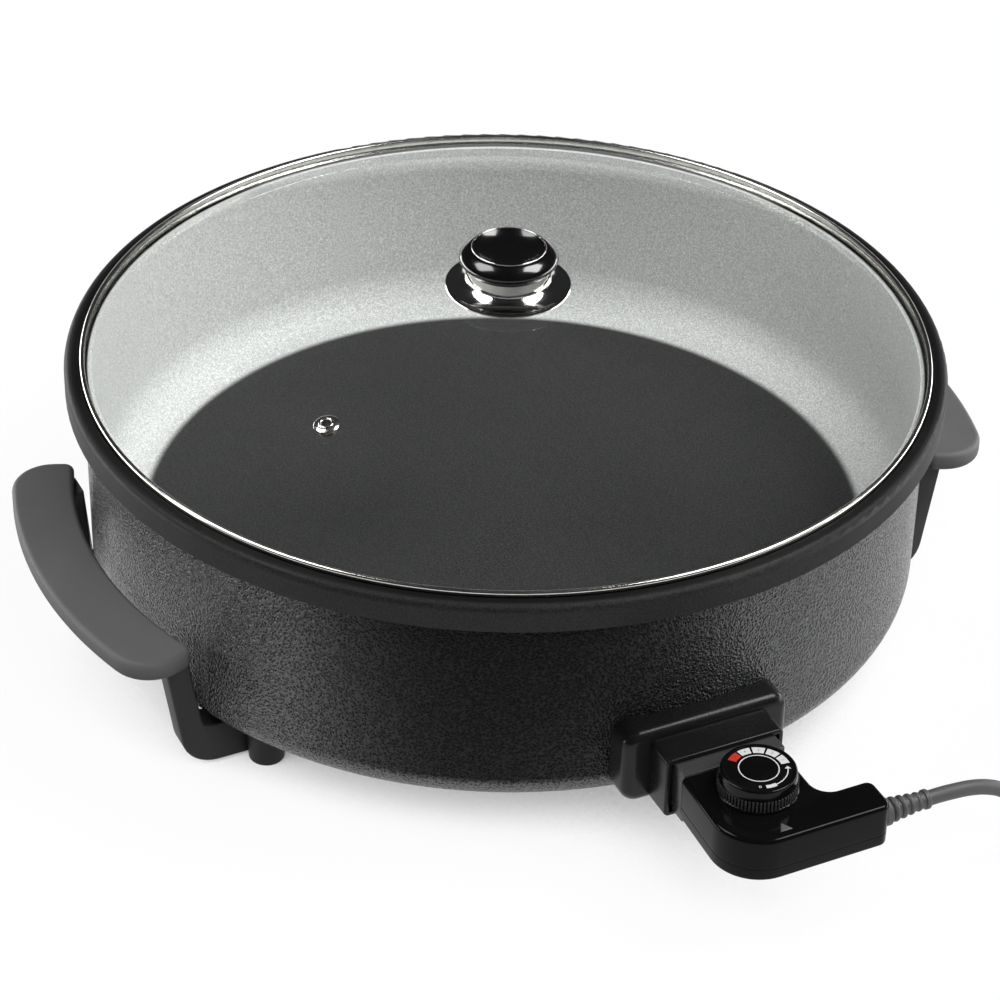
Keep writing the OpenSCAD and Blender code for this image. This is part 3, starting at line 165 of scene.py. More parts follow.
class Finish:
    """A material under construction, with one method for every kind of node."""

    def __init__(self, name, holder=None):
        self.holder = holder or bpy.data.materials.new(name)
        self.holder.use_nodes = True
        self.tree = self.holder.node_tree
        self.tree.nodes.clear()

    def node(self, kind, settings=None, inputs=None, output=0):
        """A node of any kind: its settings first, then the values or links of its sockets."""
        node = self.tree.nodes.new("ShaderNode" + kind)
        for key, value in (settings or {}).items():
            if key == "stops":
                ramp = node.color_ramp.elements
                while len(ramp) < len(value):
                    ramp.new(0.5)
                for element, (place, shade) in zip(ramp, value):
                    element.position = place
                    element.color = (*shade, 1) if len(shade) == 3 else shade
            else:
                setattr(node, key, value)
        for key, value in (inputs or {}).items():
            if isinstance(value, Sock):
                self.tree.links.new(value.socket, node.inputs[key])
            else:
                socket = node.inputs[key]
                if socket.type == "RGBA" and len(value) == 3:
                    value = (*value, 1)
                socket.default_value = value
        return Sock(self.tree, node.outputs[output])

    def place(self):
        return self.node("TexCoord", output="Object")

    def axes(self):
        """The three object coordinates."""
        split = self.tree.nodes.new("ShaderNodeSeparateXYZ")
        self.tree.links.new(self.place().socket, split.inputs[0])
        return [Sock(self.tree, split.outputs[axis]) for axis in "XYZ"]

    def noise(self, scale, detail=2.0, roughness=0.5, vector=None):
        return self.node("TexNoise", None, {
            "Vector": vector or self.place(), "Scale": scale, "Detail": detail, "Roughness": roughness})

    def ramp(self, value, *stops):
        return self.node("ValToRGB", {"stops": stops}, {"Fac": value})

    def span(self, value, low, high, to_low, to_high, smooth=False):
        """The value carried from one range to another, held at its ends."""
        return self.node("MapRange", {"interpolation_type": "SMOOTHSTEP" if smooth else "LINEAR"}, {
            "Value": value, "From Min": low, "From Max": high, "To Min": to_low, "To Max": to_high})

    def blend(self, factor, first, second):
        return self.node("Mix", {"data_type": "RGBA"}, {0: factor, 6: first, 7: second}, output=2)

    def bump(self, height, distance, strength=1.0):
        return self.node("Bump", None, {"Height": height, "Distance": distance, "Strength": strength})

    def surface(self, **sockets):
        """The main shader, with short names for the sockets that are used."""
        names = {"color": "Base Color", "normal": "Normal", "rough": "Roughness", "metal": "Metallic",
                 "coat": "Coat Weight", "specular": "Specular IOR Level"}
        return self.node("BsdfPrincipled", None, {names[key]: value for key, value in sockets.items()})

    def rays(self, *kinds):
        """One where a ray is of one of the kinds, else nought."""
        path = self.tree.nodes.new("ShaderNodeLightPath")
        found = [Sock(self.tree, path.outputs["Is " + kind + " Ray"]) for kind in kinds]
        total = found[0]
        for more in found[1:]:
            total = total.math("MAXIMUM", total, more)
        return total

    def done(self, shader, kind="Material"):
        """Links the shader to the output and returns the material or the world."""
        out = self.tree.nodes.new("ShaderNodeOutput" + kind)
        self.tree.links.new(shader.socket, out.inputs["Surface"])
        return self.holder


MADE = {}


def finish_of(name):
    """The named finish, made once."""
    if name not in MADE:
        MADE[name] = FINISHES[name]()
    return MADE[name]


def colours():
    """The colours that a user may change."""
    return bpy.context.scene.pizza_finishes


def tinted(f, base, noise, low, high):
    """The base colour made darker and lighter by a noise."""
    return f.blend(noise, [c * low for c in base], [min(1, c * high) for c in base])


def hammered_paint():
    """Black paint in small cells: matt where it faces the eye, with glints that grow towards a slanting view."""
    f = Finish("hammered_paint")
    place = f.place()
    warp = f.node("VectorMath", {"operation": "MULTIPLY_ADD"}, {
        0: f.node("TexNoise", None, {"Vector": place, "Scale": 700.0, "Detail": 1.0}, output="Color"),
        1: (0.0006, 0.0006, 0.0006), 2: place})
    cells = f.node("TexVoronoi", {"feature": "SMOOTH_F1"}, {"Vector": warp, "Scale": 780.0, "Smoothness": 0.2})
    grain = f.noise(1300.0, 2.0, 0.6)
    base = colours().shell
    tone = f.blend(f.span(cells, 0.2, 0.9, 0.0, 1.0), [c * 0.3 for c in base], [c * 2.6 for c in base])
    relief = f.bump(cells * 0.7 + grain * 0.4, 0.0014)
    speck = f.span(cells * 0.6 + grain * 0.5, 0.3, 0.66, 0.15, 1.6)
    matt = f.surface(color=tone, rough=f.span(grain, 0.3, 0.7, 0.5, 0.6), specular=0.06, normal=relief)
    shine = f.surface(color=tone, rough=f.span(grain, 0.3, 0.7, 0.15, 0.24), specular=1.0, normal=relief)
    slant = f.node("LayerWeight", None, {"Blend": 0.5}, output="Facing")
    glint = f.span(slant, 0.2, 0.42, 0.0, 1.0, True) * speck
    return f.done(f.node("MixShader", None, {0: glint, 1: matt, 2: shine}))


def pan_coat():
    """Satin coat with fine sparkle, dark on its floor, the ledge and the rim; the pale wall of the cooking space is
    painted light, and the near-black ledge is painted shade.
    """
    f = Finish("pan_coat")
    sizes = bpy.context.scene.pizza_pan
    bore_edge, rim_edge, ledge_height = (0.1990, 0.1998), (0.2000, 0.2010), (0.1345, 0.1360)
    ledge_inner, ledge_outer = (0.1985, 0.1993), (0.2052, 0.2072)
    x, y, z = f.axes()
    radius = (x * x + y * y) ** 0.5
    outward = f.span(radius, sizes.floor_radius - 0.003, sizes.floor_radius + 0.002, 0.0, 1.0, True)
    inside = f.span(radius, *bore_edge, 1.0, 0.0)
    # Painted shade: the ledge between the lid's band and the rim is made near-black.
    ledge = f.span(z, *ledge_height, 0.0, 1.0, True) * f.span(radius, *ledge_outer, 1.0, 0.0, True)
    ledge = ledge * f.span(radius, *ledge_inner, 0.0, 1.0)
    wall = outward * inside * (1.0 - ledge)
    speck = f.noise(1300.0, 2.0, 0.7)
    fine = f.noise(650.0, 3.0, 0.7)
    cloud = f.noise(30.0, 3.0, 0.5)
    fleck = f.span(speck, 0.42, 0.68, 0.0, 1.0)
    coat, pale = colours().coat, colours().wall
    rim = f.span(radius, *rim_edge, 1.0, 0.3)
    dark = f.blend(fleck, [c * 0.6 for c in coat], [c * 2.4 for c in coat])
    dark = f.blend(rim, (0.0, 0.0, 0.0), dark)
    # Painted shade on the ledge: the coat turns near-black there.
    dark = f.blend(ledge, dark, [c * 0.08 for c in coat])
    sparkle = f.span(fleck * 0.6 + fine * 0.6, 0.25, 0.85, 0.0, 1.0)
    # Painted light: the upright wall of the cooking space gets a pale tone for the light it catches.
    light = f.blend(sparkle, [c * 0.72 for c in pale], [c * 1.25 for c in pale])
    return f.done(f.surface(
        color=f.blend(wall, dark, light), specular=0.2,
        rough=f.span(cloud + fleck * 0.2, 0.3, 0.9, 0.34, 0.48) + (1.0 - rim) * 0.15,
        normal=f.bump(speck, 0.00012, 0.6)))


def moulded(name, base, rough, grain_scale, grain_height, specular=0.5, coat=0.0):
    """A moulded plastic: faint colour drift, uneven gloss and a fine surface grain."""
    f = Finish(name)
    drift = f.noise(45.0, 3.0)
    grain = f.noise(grain_scale, 2.0, 0.6)
    return f.done(f.surface(
        color=tinted(f, base, drift, 0.85, 1.15), specular=specular, coat=coat,
        rough=f.span(drift * 0.6 + grain * 0.4, 0.3, 0.7, rough[0], rough[1]),
        normal=f.bump(grain, grain_height, 0.7)))


def metal(name, base, rough, streak=(180.0, 180.0, 2600.0)):
    """A plain metal with fine streaks along one way and a faint stain."""
    f = Finish(name)
    place = f.node("Mapping", None, {"Vector": f.place(), "Scale": streak})
    lines = f.noise(1.0, 3.0, 0.6, place)
    stain = f.noise(60.0, 3.0)
    return f.done(f.surface(
        color=tinted(f, base, stain, 0.9, 1.08), metal=1.0,
        rough=f.span(lines * 0.6 + stain * 0.4, 0.3, 0.7, rough[0], rough[1]),
        normal=f.bump(lines, 0.00002, 0.5)))


def lid_glass():
    """Thin clear glass: see-through, with a mirror that grows towards a grazing view."""
    f = Finish("lid_glass")
    smear = f.noise(22.0, 3.0, 0.6)
    clear = f.node("BsdfTransparent", None, {"Color": (0.975, 0.978, 0.975)})
    mirror = f.surface(color=(0.95, 0.97, 0.96), metal=1.0, rough=f.span(smear, 0.4, 0.7, 0.0, 0.02))
    slant = f.node("LayerWeight", None, {"Blend": 0.5}, output="Facing")
    return f.done(f.node("MixShader", None, {0: slant ** 5.0 * 0.4 + 0.025, 1: clear, 2: mirror}))


def dial_print(name, base):
    """Printing ink, a little worn."""
    f = Finish(name)
    wear = f.noise(2600.0, 2.0, 0.6)
    return f.done(f.surface(color=tinted(f, base, wear, 0.88, 1.06), rough=f.span(wear, 0.3, 0.7, 0.35, 0.5)))


def lens_plastic():
    """Hazy plastic of the unlit pilot lens."""
    f = Finish("lens_plastic")
    haze = f.noise(400.0, 2.0)
    return f.done(f.surface(
        color=tinted(f, (0.06, 0.06, 0.058), haze, 0.92, 1.05), rough=f.span(haze, 0.3, 0.7, 0.12, 0.25)))


def grip_plastic():
    """Moulded plastic with painted shade: its own colour on the grip's top, darker down the sides and the legs."""
    f = Finish("grip_plastic")
    drift, grain = f.noise(45.0, 3.0), f.noise(1800.0, 2.0, 0.6)
    sizes = bpy.context.scene.pizza_pan
    top = sizes.grip_bottom + sizes.grip_thickness
    # Painted shade: the colour darkens below the grip's top, down the sides and the legs.
    painted_shade_ramp = f.span(f.axes()[2], sizes.grip_bottom - 0.004, top - 0.001, 0.0, 1.0)
    base = colours().grip
    return f.done(f.surface(
        color=f.blend(painted_shade_ramp, [c * 0.2 for c in base], tinted(f, base, drift, 0.88, 1.12)), specular=0.2,
        rough=f.span(drift * 0.6 + grain * 0.4, 0.3, 0.7, 0.45, 0.58), normal=f.bump(grain, 0.00006, 0.7)))


FINISHES = {
    "shell": hammered_paint,
    "coat": pan_coat,
    "grip": grip_plastic,
    "gloss": lambda: moulded("gloss_plastic", colours().gloss, (0.06, 0.13), 300.0, 0.00001, 0.11),
    "knob": lambda: moulded("knob_plastic", colours().gloss, (0.14, 0.2), 300.0, 0.00001, 0.5, 0.5),
    "dial": lambda: moulded("dial_plastic", colours().gloss, (0.08, 0.14), 300.0, 0.00001, 0.2),
    "socket": lambda: moulded("socket_plastic", colours().socket, (0.2, 0.32), 1500.0, 0.00002, 0.25),
    "nose": lambda: moulded("nose_plastic", colours().nose, (0.2, 0.32), 1200.0, 0.00002, 0.4),
    "lead": lambda: moulded("lead_rubber", colours().lead, (0.42, 0.58), 1400.0, 0.00004),
    "wire": lambda: moulded("wire_cover", (0.25, 0.1, 0.04), (0.35, 0.5), 1200.0, 0.00002),
    "ceramic": lambda: moulded("ceramic", (0.8, 0.77, 0.68), (0.5, 0.65), 900.0, 0.00004),
    "silicone": lambda: moulded("silicone", (0.6, 0.6, 0.56), (0.5, 0.6), 700.0, 0.00002),
    "lamp": lambda: moulded("lamp_glass", (0.9, 0.45, 0.15), (0.05, 0.12), 500.0, 0.00001),
    "chrome": lambda: metal("polished_steel", (0.82, 0.805, 0.78), (0.07, 0.13)),
    "band": lambda: metal("band_steel", (0.93, 0.91, 0.87), (0.12, 0.24)),
    "steel": lambda: metal("plain_steel", (0.56, 0.56, 0.56), (0.22, 0.38)),
    "sheath": lambda: metal("dark_sheath", (0.24, 0.22, 0.21), (0.35, 0.5)),
    "aluminium": lambda: metal("bright_sheet", (0.76, 0.76, 0.77), (0.25, 0.4), (900.0, 12.0, 900.0)),
    "brass": lambda: metal("brass", (0.72, 0.55, 0.26), (0.2, 0.35)),
    "glass": lid_glass,
    "white": lambda: dial_print("white_print", colours().print_white),
    "red": lambda: dial_print("red_print", colours().print_red),
    "ink": lambda: dial_print("dark_print", (0.03, 0.03, 0.03)),
    "lens": lens_plastic,
}

SLOT_FINISH = {
    "pan_coating": "coat", "shell_paint": "shell", "phenolic": "grip", "socket_plastic": "socket",
    "case_plastic": "gloss", "nose_plastic": "nose", "lid_glass": "glass", "polished_steel": "chrome",
    "steel": "steel", "sheath": "sheath", "aluminium": "aluminium", "brass": "brass", "ceramic": "ceramic",
    "silicone": "silicone", "lead_rubber": "lead", "wire": "wire", "lens": "lens", "lamp": "lamp",
}


def unit2(v):
    """The flat vector at length one."""
    return v / v.length


def round_path(path, radii, inset=0.0, steps=10):
    """Points of a counter-clockwise outline with rounded corners, moved inwards by inset."""
    count = len(path)
    points = [Vector(p) for p in path]
    moved = []
    for i in range(count):
        before, here, after = points[i - 1], points[i], points[(i + 1) % count]
        a, b = unit2(here - before), unit2(after - here)
        na, nb = Vector((-a.y, a.x)), Vector((-b.y, b.x))
        moved.append(here + inset * (na + nb) / (1 + na.dot(nb)))
    out = []
    for i in range(count):
        before, here, after = moved[i - 1], moved[i], moved[(i + 1) % count]
        outer = (points[i] - points[i - 1]).cross(points[(i + 1) % count] - points[i]) > 0
        radius = max(0.05 * MM, radii[i] + (-inset if outer else inset))
        a, b = unit2(before - here), unit2(after - here)
        half = math.acos(max(-1, min(1, a.dot(b)))) / 2
        centre = here + unit2(a + b) * radius / math.sin(half)
        u, v = here + a * radius / math.tan(half) - centre, here + b * radius / math.tan(half) - centre
        start = math.atan2(u.y, u.x)
        sweep = (math.atan2(v.y, v.x) - start + 3 * math.pi) % (2 * math.pi) - math.pi
        out += [centre + radius * Vector((math.cos(start + sweep * k / steps), math.sin(start + sweep * k / steps)))
                for k in range(steps + 1)]
    return out


def edge_layers(low, high, low_edge, high_edge, steps=6):
    """Inset and height of each ring of a slab with rounded bottom and top edges."""
    quarter = [math.pi / 2 * k / steps for k in range(steps + 1)]
    below, above = [(0.0, low)], [(0.0, high)]
    if low_edge:
        below = [(low_edge * (1 - math.sin(a)), low + low_edge * (1 - math.cos(a))) for a in quarter]
    if high_edge:
        above = [(high_edge * (1 - math.cos(a)), high - high_edge * (1 - math.sin(a))) for a in quarter]
    return below + above


def skin(bm, rings):
    """Faces between rings of equal length, and flat faces over the first and the last."""
    rows = [[bm.verts.new(p) for p in ring] for ring in rings]
    count = len(rows[0])
    for low, high in zip(rows, rows[1:]):
        for i in range(count):
            j = (i + 1) % count
            bm.faces.new((low[i], low[j], high[j], high[i]))
    bm.faces.new(reversed(rows[0]))
    bm.faces.new(rows[-1])


def revolve(bm, profile, steps=128, centre=(0.0, 0.0)):
    """A turned solid about a vertical axis; the profile runs from the axis to the axis, or closes on itself."""
    closed = profile[0][0] > 1e-9
    rows = []
    for r, z in profile:
        if r < 1e-9:
            rows.append([bm.verts.new((centre[0], centre[1], z))])
        else:
            rows.append([bm.verts.new((centre[0] + r * math.cos(math.tau * k / steps),
                                       centre[1] + r * math.sin(math.tau * k / steps), z)) for k in range(steps)])
    pairs = list(zip(rows, rows[1:])) + ([(rows[-1], rows[0])] if closed else [])
    for low, high in pairs:
        for k in range(steps):
            n = (k + 1) % steps
            corners = [low[k % len(low)], low[n % len(low)], high[n % len(high)], high[k % len(high)]]
            seen = []
            for corner in corners:
                if corner not in seen:
                    seen.append(corner)
            if len(seen) > 2:
                bm.faces.new(seen)


def arc(cx, cz, radius, start, end, steps):
    """Points on an arc, angles in degrees."""
    return [(cx + radius * math.cos(math.radians(start + (end - start) * k / steps)),
             cz + radius * math.sin(math.radians(start + (end - start) * k / steps))) for k in range(steps + 1)]


def solid(name, bm, finish, sharp=35.0, recalc=True):
    """A finished mesh object from a bmesh, smooth but for its sharp edges."""
    bmesh.ops.remove_doubles(bm, verts=bm.verts, dist=1e-7)
    if recalc:
        bmesh.ops.recalc_face_normals(bm, faces=bm.faces)
    mesh = bpy.data.meshes.new(name)
    bm.to_mesh(mesh)
    bm.free()
    mesh.shade_smooth()
    mesh.set_sharp_from_angle(angle=math.radians(sharp))
    mesh.materials.append(finish_of(finish))
    piece = bpy.data.objects.new(name, mesh)
    bpy.context.scene.collection.objects.link(piece)
    return piece


def turned(name, profile, steps, finish, sharp=35.0, centre=(0.0, 0.0), place=None):
    """A turned piece about a vertical axis, then moved to its place."""
    bm = bmesh.new()
    revolve(bm, profile, steps, centre)
    if place:
        bm.transform(place)
    return solid(name, bm, finish, sharp)


def bake(piece):
    """Turns a piece's modifiers into plain mesh."""
    bpy.context.view_layer.update()
    made = bpy.data.meshes.new_from_object(piece.evaluated_get(bpy.context.evaluated_depsgraph_get()))
    piece.modifiers.clear()
    old, piece.data = piece.data, made
    made.name = piece.name
    bpy.data.meshes.remove(old)


class Tree:
    """A Geometry Nodes tree under construction, with named inputs."""

    def __init__(self, name, takes_points=False, **inputs):
        self.tree = bpy.data.node_groups.new(name, "GeometryNodeTree")
        face = self.tree.interface
        face.new_socket("Geometry", in_out="OUTPUT", socket_type="NodeSocketGeometry")
        if takes_points:
            face.new_socket("Geometry", in_out="INPUT", socket_type="NodeSocketGeometry")
        self.values = {}
        for key, value in inputs.items():
            kind = "Int" if isinstance(value, int) else "Material" if isinstance(
                value, bpy.types.Material) else "Vector" if isinstance(value, (tuple, Vector)) else "Float"
            socket = face.new_socket(key, in_out="INPUT", socket_type="NodeSocket" + kind)
            self.values[socket.identifier] = value
        self.group = self.tree.nodes.new("NodeGroupInput")

    def take(self, key):
        return self.group.outputs[key]

    def node(self, kind, settings=None, inputs=None, output=0):
        node = self.tree.nodes.new(kind)
        for key, value in (settings or {}).items():
            setattr(node, key, value)
        for key, value in (inputs or {}).items():
            if isinstance(value, bpy.types.NodeSocket):
                self.tree.links.new(value, node.inputs[key])
            else:
                node.inputs[key].default_value = value
        return node.outputs[output]

    def grow(self, name, geometry, points=((0, 0, 0),)):
        """Realizes the geometry, gives it its material and returns it as a plain mesh object."""
        whole = self.node("GeometryNodeRealizeInstances", None, {0: geometry})
        whole = self.node("GeometryNodeSetShadeSmooth", None, {0: whole})
        whole = self.node("GeometryNodeSetMaterial", None, {0: whole, "Material": self.take("Material")})
        out = self.tree.nodes.new("NodeGroupOutput")
        self.tree.links.new(whole, out.inputs[0])
        mesh = bpy.data.meshes.new(name)
        mesh.from_pydata([tuple(p) for p in points], [], [])
        piece = bpy.data.objects.new(name, mesh)
        bpy.context.scene.collection.objects.link(piece)
        modifier = piece.modifiers.new(name, "NODES")
        modifier.node_group = self.tree
        for identifier, value in self.values.items():
            modifier[identifier] = value
        bake(piece)
        piece.data.set_sharp_from_angle(angle=math.radians(35))
        return piece


def softened(node, name, finish, width, segments=3):
    """A copy of a CAD node with its hard edges rounded a little."""
    bm = bmesh.new()
    bm.from_mesh(frame["nodes"][node].data)
    bmesh.ops.remove_doubles(bm, verts=bm.verts, dist=2e-6)
    bmesh.ops.dissolve_limit(bm, angle_limit=math.radians(0.5), verts=bm.verts, edges=bm.edges)
    hard = [e for e in bm.edges if len(e.link_faces) == 2 and e.calc_face_angle(0) > math.radians(32)]
    bmesh.ops.bevel(bm, geom=hard, offset=width, offset_type="OFFSET", segments=segments, profile=0.5,
                    affect="EDGES", clamp_overlap=True)
    return solid(name, bm, finish, recalc=False)


def stand_for(piece, body, slot, *nodes):
    """The piece rides on a body and stands for CAD nodes, which are hidden; the slot argument is not used."""
    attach(piece, body)
    if nodes:
        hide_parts(*nodes)


def towards(azimuth, height):
    """Unit vector from the pan to a place round it, angles in degrees; azimuth 0 is in front of the controller."""
    a, h = math.radians(azimuth), math.radians(height)
    return Vector((math.sin(a) * math.cos(h), -math.cos(a) * math.cos(h), math.sin(h)))


class PIZZA_OT_camera(bpy.types.Operator):
    """Camera at the photographed view"""

    bl_idname = "pizza_pan.camera"
    bl_label = "Camera"

    def execute(self, context):
        data = bpy.data.cameras.new("view_camera")
        data.sensor_fit = "HORIZONTAL"
        data.sensor_width, data.lens = VIEW_SENSOR, VIEW_LENS
        camera = bpy.data.objects.new("view_camera", data)
        azimuth, roll = math.radians(VIEW_AZIMUTH), math.radians(VIEW_ROLL)
        back = towards(VIEW_AZIMUTH, VIEW_HEIGHT)
        right = Vector((math.cos(azimuth), math.sin(azimuth), 0))
        up = back.cross(right)
        turned = math.cos(roll) * right + math.sin(roll) * up
        upright = math.cos(roll) * up - math.sin(roll) * right
        turn = Matrix((turned, upright, back)).transposed().to_4x4()
        camera.matrix_world = Matrix.Translation(VIEW_PLACE) @ turn
        context.scene.collection.objects.link(camera)
        context.scene.camera = camera
        return {"FINISHED"}


class PIZZA_OT_lead(bpy.types.Operator):
    """Mains lead from the strain relief to the plug, wound into a tied coil"""

    bl_idname = "pizza_pan.lead"
    bl_label = "Mains lead"

    def execute(self, context):
        route = [(72.5, 49.95), (79.5, 49.95), (86, 49.8), (94, 48.9), (102, 46.8), (110, 43), (118, 36.8),
                 (126, 27.2), (134, 17.3), (142, 10.9), (150, 7.1), (158, 5.1), (166, 4.3), (174, 4.2),
                 (182, 4.2), (190, 4.2), (198, 4.2), (206, 4.2), (214, 4.2)]
        relief_y, lead_y, relief_end = -281.75, -282, 80
        points = [Vector((x, relief_y if x < relief_end else lead_y, z)) for x, z in route]
        last, fine = len(points) - 1, 4
        line = []
        for i in range(last):
            p0, p1, p2, p3 = points[max(i - 1, 0)], points[i], points[i + 1], points[min(i + 2, last)]
            for k in range(fine):
                t = k / fine
                line.append(0.5 * (2 * p1 + (p2 - p0) * t + (2 * p0 - 5 * p1 + 4 * p2 - p3) * t * t
                                   + (3 * p1 - p0 - 3 * p2 + p3) * t ** 3))
        turns, pitch, radius, height = 1.875, 7.5, 45.5, 4.2
        half, rings = turns + 0.25, 48
        centre = Vector((route[-1][0], lead_y + radius))
        count = round(2 * half * rings)
        for i in range(count + 1):
            t = 2 * half * i / count
            r = radius - pitch * (half - abs(t - half))
            climb = min(1, max(0, (t - turns) / 0.5))
            a = math.tau * t - math.pi / 2
            line.append(Vector((centre.x + r * math.cos(a), centre.y + r * math.sin(a),
                                height + pitch * climb * climb * (3 - 2 * climb))))
        start, tail, steps, plug_height = line[-1], 46, 24, 18.5
        for k in range(1, steps + 1):
            u = min(1, max(0, (k / 2 - 2) / 8))
            rise = (plug_height - start.z) * u * u * (3 - 2 * u)
            line.append(Vector((start.x, start.y + tail * k / steps, start.z + rise)))
        curve = bpy.data.curves.new("mains_lead", "CURVE")
        curve.dimensions = "3D"
        curve.bevel_depth = context.scene.pizza_controller.lead_diameter / 2
        curve.bevel_resolution = 5
        curve.use_fill_caps = True
        spline = curve.splines.new("POLY")
        spline.points.add(len(line) - 1)
        for place, p in zip(spline.points, line):
            place.co = (*(p * MM), 1)
        curve.materials.append(finish_of("lead"))
        lead = bpy.data.objects.new("mains_lead", curve)
        context.scene.collection.objects.link(lead)
        stand_for(lead, "controller", "lead_rubber", "cord", "cord_coil", "cord_tail")
        whole = sum((b - a).length for a, b in zip(line, line[1:])) * MM
        tuple(line[0] * MM)
        return {"FINISHED"}


def grip_outline(sizes, inset, steps=10, along=64):
    """Outline of a grip bent round the pan, moved inwards by inset."""
    inner, outer = 5 * MM, 20 * MM
    middle = sizes.grip_radius + sizes.grip_width / 2
    near, far = sizes.grip_half - inner, sizes.grip_half - outer
    low, high = sizes.grip_radius + inner, sizes.grip_radius + sizes.grip_width - outer
    flat = arc(-near, low, inner - inset, 180, 270, steps)
    flat += [(-near + 2 * near * i / along, sizes.grip_radius + inset) for i in range(1, along)]
    flat += arc(near, low, inner - inset, -90, 0, steps) + arc(far, high, outer - inset, 0, 90, steps)
    flat += [(far - 2 * far * i / along, sizes.grip_radius + sizes.grip_width - inset) for i in range(1, along)]
    flat += arc(-far, high, outer - inset, 90, 180, steps)
    return [Vector((r * math.cos(s / middle), r * math.sin(s / middle))) for s, r in flat]


class PIZZA_OT_handles(bpy.types.Operator):
    """Foot handles: grip, two legs with foot bars and two peg feet in one moulding"""

    bl_idname = "pizza_pan.handles"
    bl_label = "Foot handles"

    def execute(self, context):
        sizes = context.scene.pizza_pan
        bottom, top = sizes.grip_bottom, sizes.grip_bottom + sizes.grip_thickness
        layers = edge_layers(bottom, top, 3 * MM, 2.5 * MM, 8)
        layers = [(3.6 * MM, bottom), *layers, (3.2 * MM, top)]
        lean, gap, peg_inwards = math.tan(math.radians(8.5)), 0.8 * MM, 24 * MM
        leg_x = math.sqrt(sizes.shell_radius ** 2 - sizes.leg_outside ** 2) + gap
        peg_y = sizes.leg_outside + 4 * MM
        peg_x = math.sqrt((sizes.shell_radius - peg_inwards) ** 2 - peg_y ** 2)
        low, foot, leg_top = 1.5 * MM, sizes.shell_bottom, bottom + sizes.grip_thickness / 2
        side = [(peg_x - sizes.peg_radius, low),
                (leg_x + sizes.leg_width - (foot - low) * lean, low),
                (leg_x + sizes.leg_width + (leg_top - foot) * lean, leg_top),
                (leg_x + (leg_top - foot) * lean, leg_top), (leg_x, foot), (peg_x - sizes.peg_radius, foot)]
        radii = [2 * MM, 17 * MM, 0.8 * MM, 0.8 * MM, 6 * MM, 0.8 * MM]
        clear = sizes.shell_radius + gap
        foot_profile = [(4.4, 0), (7.5, 0), (8.1, 0.2), (8.4, 0.8), (9.6, 23), (2.1, 23), (2.1, 9), (4.4, 9)]
        for turn, node in ((1, "right_handle"), (-1, "left_handle")):
            bm = bmesh.new()
            skin(bm, [[(turn * p.x, p.y, z) for p in grip_outline(sizes, inset)] for inset, z in layers])
            for start in (-sizes.leg_outside, sizes.leg_outside - sizes.leg_thickness):
                rings = []
                for inset, y in edge_layers(start, start + sizes.leg_thickness, 1.4 * MM, 1.4 * MM, 4):
                    wall = math.sqrt(clear ** 2 - y ** 2)
                    rings.append([(turn * (max(p.x, wall) if p.y > foot + 0.3 * MM else p.x), y, p.y)
                                  for p in round_path(side, radii, inset, 8)])
                skin(bm, rings)
            for y in (-peg_y, peg_y):
                revolve(bm, [(r * MM, z * MM) for r, z in foot_profile], 48, (turn * peg_x, y))
            piece = solid(node + "_moulding", bm, "grip")
            stand_for(piece, "pan", "phenolic", node)
        return {"FINISHED"}


class PIZZA_OT_socket(bpy.types.Operator):
    """Socket on the shell's wall: rounded flange and shroud"""

    bl_idname = "pizza_pan.socket"
    bl_label = "Socket"

    def execute(self, context):
        low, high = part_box("socket_housing")
        half, front = 41 * MM, 213 * MM
        rect = [(-half, low.z), (half, low.z), (half, high.z), (-half, high.z)]
        bm = bmesh.new()
        layers = [*edge_layers(198 * MM, front, 0, 5 * MM, 10), (6 * MM, front)]
        skin(bm, [[(p.x, -depth, p.y) for p in round_path(rect, [8 * MM] * 4, inset, 10)] for inset, depth in layers])
        mouth, back, wide = 229 * MM, 206.1 * MM, 29.2 * MM
        bottom, top = 33.05 * MM, 64.45 * MM
        box = [(-wide, bottom), (wide, bottom), (wide, top), (-wide, top)]
        wall, edge = 2.3 * MM, 0.9 * MM
        quarter = [math.pi / 2 * k / 5 for k in range(6)]
        layers = [(0, front - 1 * MM), *((edge * (1 - math.cos(a)), mouth - edge * (1 - math.sin(a))) for a in quarter)]
        layers += [(wall - 0.4 * MM * (1 - math.sin(a)), mouth - 0.4 * MM * (1 - math.cos(a))) for a in quarter]
        layers += [(wall, front), (wall, back)]
        skin(bm, [[(p.x, -depth, p.y) for p in round_path(box, [2.6 * MM] * 4, inset, 6)] for inset, depth in layers])
        piece = solid("socket_moulding", bm, "socket", recalc=False)
        stand_for(piece, "pan", "socket_plastic", "socket_housing")
        return {"FINISHED"}


CASE_PATH = [(-27, -237.5), (-29, -292), (48.5, -291.5), (48.5, -272), (23, -272), (23, -237.5)]
CASE_RADII = [2.5, 22, 5, 4, 9, 2.5]


